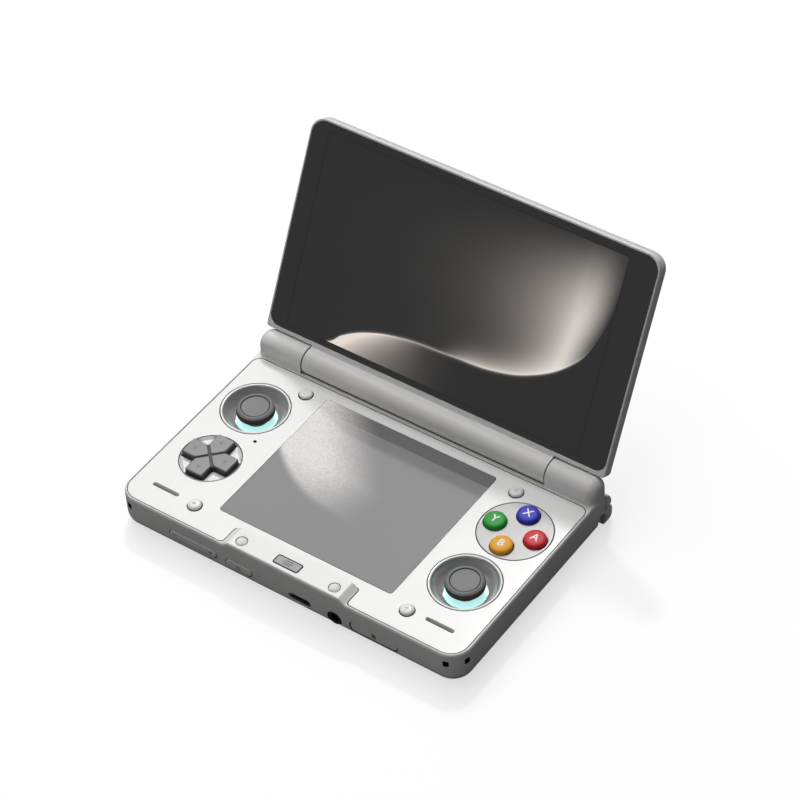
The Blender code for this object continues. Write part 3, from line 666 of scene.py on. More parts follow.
@dataclass
class LowerShell:
    """The moulded lower body: crowned edge, raised front lip, hinge knuckles and every opening in its walls."""

    wall: float = 3.0
    front_corner: float = 8.1
    rear_corner: float = 3.6
    crown: float = 0.8
    crown_depth: float = 1.4
    keel: float = 5.0
    floor_top: float = 3.3
    ledge: float = 2.3
    lip_half: float = 24.0
    lip_ramp: float = 3.0
    lip_height: float = 1.8
    seam: float = 0.25
    rim: float = 0.1
    knuckle_round: float = 3.8
    trough_half: float = 53.99
    key_gap: float = 0.28           # round the menu key
    rest_gap: float = 0.16          # round each lid rest
    cover_gap: float = 0.22         # round the bottom cover
    well_depth: float = 0.8         # from the plate's seat to the foot of the menu key's well
    ledge_depth: float = 0.9        # from the plate's seat to the cavity's ceiling
    cover_seat: float = 2.1
    floor_hole: tuple[float, ...] = (-64, 64, -36, 33, 3)
    exhaust: tuple[int, float, float] = (9, -20.5, 5)       # number of slots, first place and pitch
    lanyard: tuple[float, float] = (69.0, 10.4)
    wall_gaps: tuple[tuple[str, float, int], ...] = (
        ("volume_rocker", 0.36, 1), ("power_button", 0.36, 1), ("usb_port", 0.25, 0), ("card_door", 0.36, 1))

    def __post_init__(self) -> None:
        """Reads the places of the neighbours from the frame."""
        shell, plate = extent("base_frame"), extent("face_plate")
        self.half_width, self.front = shell[1, 0], shell[0, 1]
        self.top, self.plate_bottom = plate[1, 2], plate[0, 2]
        self.plate = plate
        joint = next(j for j in frame["joints"] if j["name"] == "lid_hinge")
        self.hinge_y, self.hinge_z = joint["pos_m"][1] / MM, joint["pos_m"][2] / MM
        self.barrel = shell[1, 2] - self.hinge_z
        self.rear = shell[1, 1] - 0.2
        self.ramp_foot = self.lip_half + self.lip_ramp

    def outline(self, inset: float = 0.0) -> Array:
        """The body's plan drawn in by a distance, with columns of points across the two ramps of the lip."""
        around = rounded(-self.half_width + inset, self.half_width - inset, self.front + inset, self.rear - inset,
                         max(self.front_corner - inset, 0.4), max(self.rear_corner - inset, 0.4), 14)
        across = self.columns()
        return np.concatenate([around, np.column_stack([across, np.full(len(across), self.front + inset)])])

    def columns(self) -> Array:
        """Places along X where the ramps of the lip are sampled."""
        ramp = np.linspace(self.lip_half - 0.3, self.ramp_foot + 0.3, 13)
        return np.concatenate([-ramp[::-1], ramp])

    def lift(self, plan: Array) -> Array:
        """How far the lip stands up: its height times a smooth step down each ramp, and none behind it."""
        slope = np.clip((self.ramp_foot - np.abs(plan[:, 0])) / self.lip_ramp, 0, 1)
        eased = 0.55 * slope + 0.45 * smooth(slope)
        return self.lip_height * eased * (plan[:, 1] < self.plate[0, 1] + 9)

    def plate_loop(self, by: float) -> Array:
        """The face plate's plan moved out by a distance, with the soft-cornered notch for the lip."""
        (x0, y0, _), (x1, y1, _) = self.plate + np.array([[-by, -by, 0], [by, by, 0]])
        notch, depth = self.ramp_foot + 0.2 - by, self.front + 9.4 - by
        around = rounded(x0, x1, y0, y1, 6.8 + by, 3.2 + by, 14)
        mouth = softened([(-notch - 6, y0), (-notch, y0), (-notch, depth), (notch, depth), (notch, y0),
                          (notch + 6, y0)], 1.6, 7, closed=False)
        ramp = np.linspace(self.lip_half - 0.6, notch - 2.0, 9)
        columns = np.column_stack([np.concatenate([-ramp[::-1], ramp]), np.full(18, depth)])
        half = len(mouth) // 2
        return np.concatenate([around, mouth[:half], columns, mouth[half:]])

    def pockets(self, ceiling: float) -> list[tuple[Array, float]]:
        """The menu key's well and the lid rests' seats, as outlines and floors, given the plate's seat."""
        found = [(roomy("menu_key", self.key_gap, 1.0), ceiling - self.well_depth)]
        for side in Side:
            seat = extent(f"lid_rest_{side.label}")
            radius = (seat[1, 0] - seat[0, 0]) / 2 + self.rest_gap
            found.append((circle(seat.mean(axis=0)[:2], radius), seat[0, 2] - GAP))
        return found

    def skin(self) -> Surface:
        """The closed shell before its openings: outside, crown, top ring, lip, recess, cavity and floor."""
        made = Surface()
        made.grid([level(self.outline(inset), drop) for inset, drop in fillet(self.keel, 12)]
                  + [level(self.outline(inset), self.top - drop + self.lift(self.outline(inset)))
                     for inset, drop in fillet(self.crown, 8, self.crown_depth)[::-1]])
        recess, inner = self.plate_loop(self.seam), self.plate_loop(self.seam - self.ledge)
        ceiling = self.plate_bottom - GAP
        roof, pockets = ceiling - self.ledge_depth, self.pockets(ceiling)
        cuts = [(recess, ceiling)] + pockets
        near, far = self.front + self.crown + 0.1, self.front + 7.2
        made.sheet(self.outline(self.crown), [grown(loop, self.rim) for loop, _ in cuts],
                   lambda plan: self.top + self.lift(plan),
                   creases=[np.array([(x, near), (x, far)]) for x in self.columns() if abs(x) < self.ramp_foot - 0.4])
        for loop, floor in cuts:
            lips = [level(grown(loop, inset), self.top - drop + self.lift(grown(loop, inset)))
                    for inset, drop in fillet(self.rim, 4)]
            made.grid(lips)
            # Painted shade: the wall below each rim and each pocket's floor take the black material to stand for the
            # shade in the gap.
            made.grid([lips[-1], level(loop, floor)], 1)
        for loop, floor in pockets:
            made.cap(level(loop, floor), 1)
        made.sheet(recess, [inner], ceiling)
        made.grid([level(inner, ceiling), level(inner, roof)])
        cavity = rounded(-self.half_width + self.wall, self.half_width - self.wall, self.front + self.wall,
                         self.plate[1, 1] - 1.7, 5.1, 1.0)
        made.sheet(cavity, [inner], roof)
        made.grid([level(cavity, self.floor_top), level(cavity, roof)])
        opening, seat = rounded(*self.floor_hole), roomy("bottom_cover", self.cover_gap, 3.9)
        made.sheet(cavity, [opening], self.floor_top)
        made.grid([level(opening, self.cover_seat), level(opening, self.floor_top)])
        made.sheet(seat, [opening], self.cover_seat).grid([level(seat, 0), level(seat, self.cover_seat)])
        return made.sheet(self.outline(self.keel), [seat], 0)

    def knuckle(self, side: Side) -> Surface:
        """A hinge knuckle: a round-topped section carried along X, its outer end a quarter round."""
        inner, outer = self.trough_half, self.half_width - 0.17
        rings = [crosswise(self.knuckle_section(0), side.value * inner)]
        rings += [crosswise(self.knuckle_section(inset), side.value * (outer - drop))
                  for inset, drop in fillet(self.knuckle_round, 12)[::-1]]
        # The inner end faces the barrel across a gap and is black as painted shade.
        return Surface().grid(rings).cap(rings[0], 1).cap(rings[-1])

    def knuckle_section(self, inset: float) -> Array:
        """The knuckle's section in Y and Z: an arc on two legs, the front one flaring into the body."""
        y, z, radius = self.hinge_y, self.hinge_z, self.barrel - inset
        dome = arc((y, z), radius, 0, 180, 40)
        foot = softened([dome[-1], (y - radius, 15.8), (y - radius - 0.12, 15.3), (y - radius - 0.6, 15.02),
                         (y - radius - 0.6, 13.2)], 0.5, 5, closed=False)[1:]
        return np.concatenate([[(y + radius, 13.2)], dome, foot])

    def trough(self) -> Surface:
        """The space the lid's barrel turns in: a round bed, open behind."""
        y, z, radius, half = self.hinge_y, self.hinge_z, self.barrel + 0.45, self.trough_half
        bed = np.concatenate([[(self.rear + 1.5, z + 9)], [(y - 6, z + 9)], [(y - radius, z)],
                              arc((y, z), radius, 180, 270, 24)[1:], [(self.rear + 1.5, z - radius)]])
        ends = [crosswise(bed, -half), crosswise(bed, half)]
        # The trough's two ends, the knuckles' inner faces, are black as painted shade.
        return Surface().grid(ends).cap(ends[0], 1).cap(ends[1], 1)

    def openings(self) -> Surface:
        """The holes cut through the walls for the side keys, the ports and the exhaust."""
        made, front = Surface(), self.front
        # Mark 1 makes an opening's walls black, painted shade in the gap round its key; the jack's hole is painted so
        # too.
        for name, spare, mark in self.wall_gaps:
            (x0, _, z0), (x1, _, z1) = extent(name)
            loop = pill(((x0 + x1) / 2, (z0 + z1) / 2), x1 - x0 + 2 * spare, z1 - z0 + 2 * spare)
            made.tube([upright(loop, front - 1), upright(loop, front + self.wall + 1)], mark)
        jack = extent("headphone_jack")
        middle = jack.mean(axis=0)
        hole = circle(middle[[0, 2]], (jack[1, 0] - jack[0, 0]) / 2 + 0.2)
        made.tube([upright(hole, front - 1), upright(hole, front + 15)], 1)
        count, first, pitch = self.exhaust
        for index in range(count):
            slot = pill((0, 0), 4.8, 3.0)[:, ::-1] + [first + pitch * index, 7.0]
            made.tube([upright(slot, self.rear - 4), upright(slot, self.rear + 1)])
        return made

    def corners(self) -> Iterable[Surface]:
        """The tools for the lanyard holes round the front corners and the notches for the shoulder keys."""
        place, height = self.lanyard
        behind = self.rear + 2
        eye = rounded(-1.1, 1.1, -1.3, 1.3, 0.5, steps=4)
        bumper = softened([(46.2, 6.9), (behind, 6.9), (behind, 13.9), (46.2, 13.9)], 0.5)
        hook = softened([(41.2, -1.0), (behind, -1.0), (behind, 7.2), (42.9, 7.2), (41.2, 5.0)], 0.9)
        for side in Side:
            k = side.value
            # The lanyard holes' walls are black as painted shade.
            yield Surface().tube([upright(eye + [k * place, height], y) for y in (self.front - 1, self.front + 6.9)], 1)
            yield Surface().tube([crosswise(eye + [self.front + 5.8, height], k * x)
                                  for x in (69.9, self.half_width + 1)], 1)
            x0, x1 = k * 52.6, k * (self.half_width + 2)
            yield Surface().tube([crosswise(hook, x0), crosswise(hook, x1)])
            yield Surface().tube([crosswise(bumper, x0 + k * 0.02), crosswise(bumper, x1 + k * 0.1)])

    def build(self) -> None:
        """Makes the shell and fits it in place of the frame's."""
        # The second material is black: painted shade on the walls of the recess, pockets, trough, knuckle ends and
        # openings.
        made = self.skin().object("lower_shell", [SHELL.build(), BLACK_AND_GAP_SHADE.build()])
        for side in Side:
            carved(made, self.knuckle(side), Carve.JOIN)
        for tool in (self.trough(), self.openings(), *self.corners()):
            carved(made, tool)
        fitted(made, "base", "shell", "base_frame")


class PlateMark(IntEnum):
    """The face plate's materials, by number."""

    WHITE = 0
    DISC = 1
    # Painted shade: the black walls of the plate's holes and slots and the dish's groove stand for the shade in the
    # gaps.
    DARK = 2


@dataclass
class FacePlate:
    """The white plate over the controls, with rounded rims at every opening and its own disc under the buttons."""

    shell: LowerShell
    edge: float = 0.18
    rim: float = 0.22
    dish: float = 11.75
    groove: float = 0.36
    groove_depth: float = 0.8
    dish_rim: float = 0.1
    dish_depth: float = 0.75
    disc: float = 13.8
    disc_gap: float = 0.14
    button_hole: float = 4.4
    hole_gap: float = 0.28
    slot: tuple[float, float] = (21.3, 8.4)
    speaker: tuple[float, float, float, float] = (59.8, -35.2, 11.6, 1.5)   # place and size
    microphone: tuple[float, float] = (-47.2, 1.0)

    def build(self) -> None:
        """Makes the plate."""
        low, top = extent("face_plate")[:, 2]
        made, outer = Surface(), self.shell.plate_loop(0.0)
        centre = plan_middle("dpad")
        buttons = [plan_middle(f"button_{name}") for name in BUTTON_COLOURS]
        middle = np.mean(buttons, axis=0)
        through = self.openings(middle)
        dish, slot = circle(centre, self.dish, 96), softened(cross(centre, *self.slot), 1.0)
        rims = [grown(loop, self.rim) for loop, _ in through] + [grown(dish, self.dish_rim)]
        made.sheet(grown(outer, -self.edge), rims, top)
        self.sides(made, outer, low, top, -self.edge)
        for loop, wall in through:
            self.sides(made, loop, low, top, self.rim, PlateMark.WHITE, wall)
        self.dished(made, centre, top, dish, slot)
        # The cross slot's walls are black as painted shade under the pad.
        made.grid([level(slot, low), level(slot, top - self.dish_depth)], PlateMark.DARK)
        made.sheet(outer, [loop for loop, _ in through] + [slot], low)
        disc = circle(middle, self.disc - self.disc_gap, 96)
        holes = [circle(at, self.button_hole, 48) for at in buttons]
        made.sheet(grown(disc, -self.edge), [grown(hole, self.rim) for hole in holes], top, PlateMark.DISC)
        self.sides(made, disc, low, top, -self.edge, PlateMark.DISC)
        for hole in holes:
            self.sides(made, hole, low, top, self.rim, PlateMark.DISC)
        made.sheet(disc, holes, low, PlateMark.DISC)
        # The third material is black: painted shade on the walls of holes and gaps.
        piece = made.object("white_face_plate", [WHITE.build(), DISC_WHITE.build(), BLACK_AND_GAP_SHADE.build()])
        fitted(piece, "base", "white_face", "face_plate")

    def openings(self, middle: Array) -> list[tuple[Array, PlateMark]]:
        """The outlines cut right through the plate, each with its wall's mark, the button disc's last.

        Args:
            middle: The middle of the four face buttons.

        Returns:
            Pairs of outline and mark.
        """
        x, y, width, height = self.speaker
        found = [(roomy("lower_glass", 0.1, 1.2, 6), PlateMark.DARK)]
        for side in Side:
            well = extent(f"stick_well_{side.label}")
            found.append((circle(well.mean(axis=0)[:2], (well[1, 0] - well[0, 0]) / 2 + self.hole_gap, 96),
                          PlateMark.DARK))
            found.append((pill((side.value * x, y), width, height), PlateMark.WHITE))
        found += [(circle(plan_middle(f"small_button_{corner}"), SMALL_RADIUS + self.hole_gap, 48), PlateMark.DARK)
                  for corner in SMALL_MARKS]
        found.append((circle(self.microphone, 0.6, 24), PlateMark.DARK))
        return found + [(circle(middle, self.disc + self.disc_gap, 96), PlateMark.DARK)]

    def dished(self, made: Surface, centre: Array, top: float, dish: Array, slot: Array) -> None:
        """The round dish under the direction pad: a groove painted black as shade, a soft shoulder and a sunk floor.

        Args:
            made: The surface to add to.
            centre: The dish's middle.
            top: The plate's top.
            dish: The outline of the groove's outer wall.
            slot: The cross left open in the floor.
        """
        groove, floor, radius = top - self.groove_depth, top - self.dish_depth, self.dish - self.groove
        self.sides(made, dish, groove, top, self.dish_rim)
        shoulder, foot = circle(centre, radius, 96), self.dish_foot(centre)
        made.sheet(dish, [shoulder], groove, PlateMark.DARK)
        made.grid([level(shoulder, groove), level(shoulder, top - 0.1),
                   level(circle(centre, radius - 0.12, 96), top - 0.04), level(foot, floor)])
        made.sheet(foot, [slot], floor)

    def dish_foot(self, centre: Array) -> Array:
        """The foot of the dish's slope: a circle that swells out to the wall where it passes an arm's end.

        The radius is the floor's plus the rest of the way to the wall times a smooth step, which falls from
        one to nothing between 24 and 34 degrees away from the nearest arm.
        """
        turn = np.linspace(0, 2 * math.pi, 96, endpoint=False)
        away = np.degrees(np.abs((turn + math.pi / 4) % (math.pi / 2) - math.pi / 4))
        floor, wall = self.dish - 1.6, self.dish - self.groove - 0.17
        reach = floor + (wall - floor) * smooth(np.clip((34 - away) / 10, 0, 1))
        return centre + reach[:, None] * np.column_stack([np.cos(turn), np.sin(turn)])

    @staticmethod
    def sides(made: Surface, loop: Array, low: float, top: float, rim: float, mark: int = PlateMark.WHITE,
              wall: int = PlateMark.DARK) -> None:
        """A wall under a loop, with a quarter round at its top: outwards for a hole, inwards for an edge.

        Args:
            made: The surface to add to.
            loop: The wall's outline.
            low: Its foot.
            top: Its top.
            rim: The round's radius, negative at an edge.
            mark: The round's mark.
            wall: The wall's mark, by default black as painted shade in the gap.
        """
        way = 1 if rim > 0 else -1
        rings = [level(grown(loop, way * inset), top - drop) for inset, drop in fillet(abs(rim), 5)]
        made.grid(rings, mark)
        made.grid([rings[-1], level(loop, low)], wall)


@dataclass
class LowerScreen:
    """The lower glass: a flat pane whose display glows a soft grey with one warm light at its upper left."""

    edge: float = 0.12

    def material(self) -> bpy.types.Material:
        """A dim grey display with a darker band behind, a painted reflection of the dark lid, and a warm glow, under a
        glossy face.

        The glow ends at a curve below it, and fades to the right with the distance from a line that leans
        to the left further back.
        """
        material, shader = glossy("lower_display_glass", (0.035, 0.035, 0.036), 0.07)
        tree = material.node_tree
        split = tree.nodes.new("ShaderNodeSeparateXYZ")
        source = tree.nodes.new("ShaderNodeTexCoord")
        tree.links.new(source.outputs["Object"], split.inputs[0])
        x, y = Wire(tree, split.outputs[0]) * 1000.0, Wire(tree, split.outputs[1]) * 1000.0
        falling = ((x + 40.0) / 50.0).curve((0.0, 0.72), (0.04, 0.645), (0.14, 0.5), (0.24, 0.38), (0.36, 0.27),
                                            (0.54, 0.155), (0.68, 0.11), (0.88, 0.09), (1.0, 0.09))
        foot = falling * 30.0 - 16.5
        reach = (x * -1.0 + 10.0) - ((y - 3.0).math("MAXIMUM", 0.0) * 0.8)
        glow = reach.step(0.0, 32.0) * (y - foot).step(-1.2, 3.4) * (y.step(-20.0, 8.0) * 0.75 + 0.25)
        grain = Finish.noise(tree, source.outputs["Object"], 1500.0, 2.0).step(0.3, 0.7) * 0.3 + 0.80
        # Painted reflection: behind y = 26.6 mm the display goes darker, standing for the dark lid mirrored in the
        # glass.
        base_and_painted_reflection = y.step(26.6, 27.1).mix((0.096, 0.097, 0.098), (0.03, 0.03, 0.031))
        warm = (glow * grain).mix(base_and_painted_reflection, (0.60, 0.57, 0.55))
        tree.links.new(warm.socket, shader.inputs["Emission Color"])
        return material

    def build(self) -> None:
        """Makes the pane."""
        (x0, y0, z0), (x1, y1, z1) = extent("lower_glass")
        made = Surface().block(rounded(x0, x1, y0, y1, 1.0, steps=6), z0, z1, 0, self.edge)
        fitted(made.object("lower_screen", [self.material()]), "base", "screen_glass", "lower_glass")


@dataclass
class Thumbstick:
    """A stick's bowl-shaped well, the lit ring at its foot and the knurled cap."""

    side: Side
    knurls: int = 48

    def well(self) -> None:
        """The well: a hoop whose inner face curves down from a white rim to the ring."""
        box = extent(f"stick_well_{self.side.label}")
        centre, radius, top = box.mean(axis=0)[:2], (box[1, 0] - box[0, 0]) / 2, box[1, 2]
        rim = radius - 0.75
        bowl = softened([(rim, top - 0.05), (rim - 0.5, top - 0.5), (rim - 1.2, 12.7), (rim - 2.4, 11.1),
                         (rim - 3.7, 10.35), (8.0, 10.1)], 1.6, 6, closed=False)
        face = [(radius, top - 0.15), (radius - 0.12, top), (rim + 0.12, top), (rim, top - 0.05)]
        back = [(8.0, 9.4), (9.4, 9.4), (11.4, 11.2), (12.2, 13.0), (radius, 13.0)]
        made = Surface()
        made.turned(np.array(face), centre, 128)
        made.turned(bowl, centre, 128, 1)
        made.turned(np.array([bowl[-1], *back, face[0]]), centre, 128)
        piece = made.object(f"well_{self.side.label}", [WHITE.build(), BOWL.build()], 40)
        fitted(piece, "base", "white_face", f"stick_well_{self.side.label}")

    def ring(self) -> None:
        """The light ring: a hoop with a soft top edge."""
        low, high = extent(f"light_ring_{self.side.label}")
        centre, radius = (low + high)[:2] / 2, (high - low)[0] / 2
        hoop = softened([(4.6, low[2]), (radius, low[2]), (radius, high[2]), (4.6, high[2])], 0.2, 4)
        made = Surface().turned(hoop, centre, 96, ring=True)
        fitted(made.object(f"lit_ring_{self.side.label}", [RING_LIGHT.build()]), "base", "light_ring",
               f"light_ring_{self.side.label}")

    def cap(self) -> None:
        """The cap: a turned profile whose side is knurled.

        The side's radius gains a small height times the product of two sine waves that wind opposite ways,
        which makes rows of diamonds.
        """
        low, high = extent(f"stick_cap_{self.side.label}")
        centre, radius, top, foot = (low + high)[:2] / 2, (high - low)[0] / 2, high[2], low[2]
        made = Surface()
        dish = np.array([(0.0, top - 0.42), (2.5, top - 0.39), (4.2, top - 0.32), (4.9, top - 0.26)])
        groove = softened([(4.9, top - 0.26), (5.15, top - 0.22), (5.25, top - 0.6), (5.5, top - 0.6), (5.6, top),
                           (5.95, top - 0.03)], 0.1, 5, closed=False)
        brow = softened([(5.95, top - 0.03), (6.5, top - 0.18), (radius - 0.2, top - 0.6), (radius - 0.2, top - 1.05)],
                        0.4, 7, closed=False)
        steps = self.knurls * 8
        made.turned(dish, centre, steps).turned(groove[:6], centre, steps).turned(groove[5:-6], centre, steps, 1)
        made.turned(groove[-7:], centre, steps).turned(brow[:12], centre, steps).turned(brow[11:], centre, steps, 1)
        heights = np.linspace(top - 1.05, 13.25, 30)
        turn = np.linspace(0, 2 * math.pi, steps, endpoint=False)[None]
        depth = (heights[:, None] - 13.25) / (top - 1.05 - 13.25)
        wave = np.sin(self.knurls * turn + 9 * depth) * np.sin(self.knurls * turn - 9 * depth)
        fade = np.sin(math.pi * np.clip(depth, 0, 1)) ** 0.4
        bulge = radius - 0.2 + 0.2 * np.sin(math.pi * depth) * wave * fade
        side = np.stack([centre[0] + bulge * np.cos(turn), centre[1] + bulge * np.sin(turn),
                         heights[:, None] + 0 * turn], axis=-1)
        made.grid(side, 1)
        under = softened([(radius - 0.2, 13.25), (radius - 0.45, 12.85), (6.0, 12.8), (2.6, 12.8), (2.6, foot),
                          (0.0, foot)], 0.25, 4, closed=False)
        made.turned(under, centre, steps, 1)
        piece = made.object(f"thumbstick_{self.side.label}", [STICK_TOP.build(), STICK.build()], 50)
        fitted(piece, f"stick_{self.side.label}", "stick_grip", f"stick_cap_{self.side.label}")

    def build(self) -> None:
        """Makes all three pieces."""
        self.well()
        self.ring()
        self.cap()


@dataclass
class DirectionPad:
    """The cross: a dark base with four bevelled petals on it, parted by diagonal grooves."""

    span: float = 20.5
    arm: float = 7.6
    groove: float = 0.42
    bevel: float = 0.5

    def build(self) -> None:
        """Makes the cross and its four arrow marks."""
        low, high = extent("dpad")
        centre, top = (low + high)[:2] / 2, high[2]
        made = Surface()
        base = softened(cross(centre, self.span + 0.1, self.arm + 0.1), 0.9, 5)
        made.block(base, low[2], top - self.bevel - 0.08, 0.2, 0.12, 1)
        a, s, g = self.arm / 2, self.span / 2, self.groove
        petal = softened([(0.0, g), (a, a + g), (a, s), (-a, s), (-a, a + g)], 0.8, 6)
        mark = softened([(-1.1, s - 4.0), (1.1, s - 4.0), (0.0, s - 2.4)], 0.3, 3)
        for turn in range(4):
            angle = math.radians(90 * turn)
            spin = np.array([[math.cos(angle), math.sin(angle)], [-math.sin(angle), math.cos(angle)]])
            made.block(petal @ spin + centre, top - 1.5, top - 0.04, 0, self.bevel, 0, 7)
            outline = mark @ spin + centre
            made.tube([level(outline, top - 0.2), level(outline, top)], 2)
        piece = made.object("direction_pad", [DPAD_GREY.build(), DPAD_SIDE.build(), ARROW.build()], 40)
        fitted(piece, "dpad", "dpad_grey", "dpad")


def lettering(text: str, size: float, centre: Sequence[float], low: float, high: float) -> Surface:
    """A word's solid letters, lying flat.

    Args:
        text: The word.
        size: Its letters' height.
        centre: Where its middle goes.
        low: Foot of the letters.
        high: Their top.

    Returns:
        The letters as a surface.
    """
    curve = bpy.data.curves.new("legend", "FONT")
    curve.body, curve.size = text, size
    curve.extrude, curve.offset = 0.5, 0.012 * size
    curve.resolution_u = 6
    made = bpy.data.objects.new("legend", curve)
    bpy.context.scene.collection.objects.link(made)
    mesh = evaluated(made)
    points = places(mesh)
    middle = (points.min(axis=0) + points.max(axis=0)) / 2
    points = (points - middle) * [1, 1, high - low] + [centre[0], centre[1], (low + high) / 2]
    letters = Surface(points=[points], count=len(points))
    letters.faces = [list(polygon.vertices) for polygon in mesh.polygons]
    letters.marks = [0] * len(letters.faces)
    bpy.data.objects.remove(made, do_unlink=True)
    return letters


@dataclass
class FaceButtons:
    """The four coloured buttons with their letters, and the four small white ones with plain marks."""

    letter_size: float = 4.4

    def coloured(self, name: str, colour: tuple[float, float, float]) -> None:
        """A button turned from a low dome over a straight side, with its letter standing a hair proud."""
        low, high = extent(f"button_{name}")
        centre, top = (low + high)[:2] / 2, high[2] - 0.05
        dome = softened([(0.0, top), (2.9, top - 0.03), (3.7, top - 0.24), (4.08, top - 0.6), (4.1, top - 1.6),
                         (4.1, 12.6), (4.75, 12.6), (4.75, low[2]), (0.0, low[2])], 0.35, 6, closed=False)
        finish = Finish(f"button_{name}_plastic", colour, 0.45, grain=3600.0, relief=0.04, specular=0.3)
        piece = Surface().turned(dome, centre, 96).object(f"face_button_{name}", [finish.build()], 45)
        fitted(piece, f"button_{name}", f"button_{name}", f"button_{name}")
        letter = lettering(name.upper(), self.letter_size, centre, top - 0.3, top + 0.045)
        fitted(letter.object(f"legend_{name}", [LEGEND.build()]), f"button_{name}", "white_face")

    def small(self, corner: str, mark: str) -> None:
        """A small button: a cushion-topped disc with a raised mark."""
        low, high = extent(f"small_button_{corner}")
        centre, top = (low + high)[:2] / 2, high[2] - 0.06
        r = SMALL_RADIUS
        dome = softened([(0.0, top), (1.5, top - 0.02), (r - 0.25, top - 0.3), (r, top - 0.75), (r, top - 1.15)],
                        0.4, 7, closed=False)
        # The foot, with the side below the dome, takes the black material: painted shade round the button in its hole.
        foot = [dome[-1], (r, 12.6), (3.25, 12.6), (3.25, low[2]), (0.0, low[2])]
        made = Surface().turned(dome, centre, 72).turned(np.array(foot), centre, 72, 2)
        lift = (top - 0.25, top + 0.03)
        if mark == "ring":
            made.turned([(0.75, lift[0]), (0.98, lift[0]), (0.98, lift[1]), (0.75, lift[1])], centre, 40, 1, ring=True)
        elif mark == "dot":
            made.tube([level(softened(np.array([(-0.7, -0.8), (0.9, 0.0), (-0.7, 0.8)]) + centre, 0.2, 3), z)
                       for z in lift], 1)
        elif mark == "bars":
            for shift in (-0.65, 0.0, 0.65):
                made.tube([level(pill(centre + [0, shift], 1.9, 0.28, 5), z) for z in lift], 1)
        else:
            made.tube([level(cross(centre, 2.0, 0.36), z) for z in lift], 1)
        piece = made.object(f"small_key_{corner}", [WHITE.build(), FAINT.build(), BLACK_AND_GAP_SHADE.build()], 45)
        fitted(piece, f"small_button_{corner}", "white_face", f"small_button_{corner}")

    def build(self) -> None:
        """Makes all eight."""
        for name, colour in BUTTON_COLOURS.items():
            self.coloured(name, colour)
        for corner, mark in SMALL_MARKS.items():
            self.small(corner, mark)


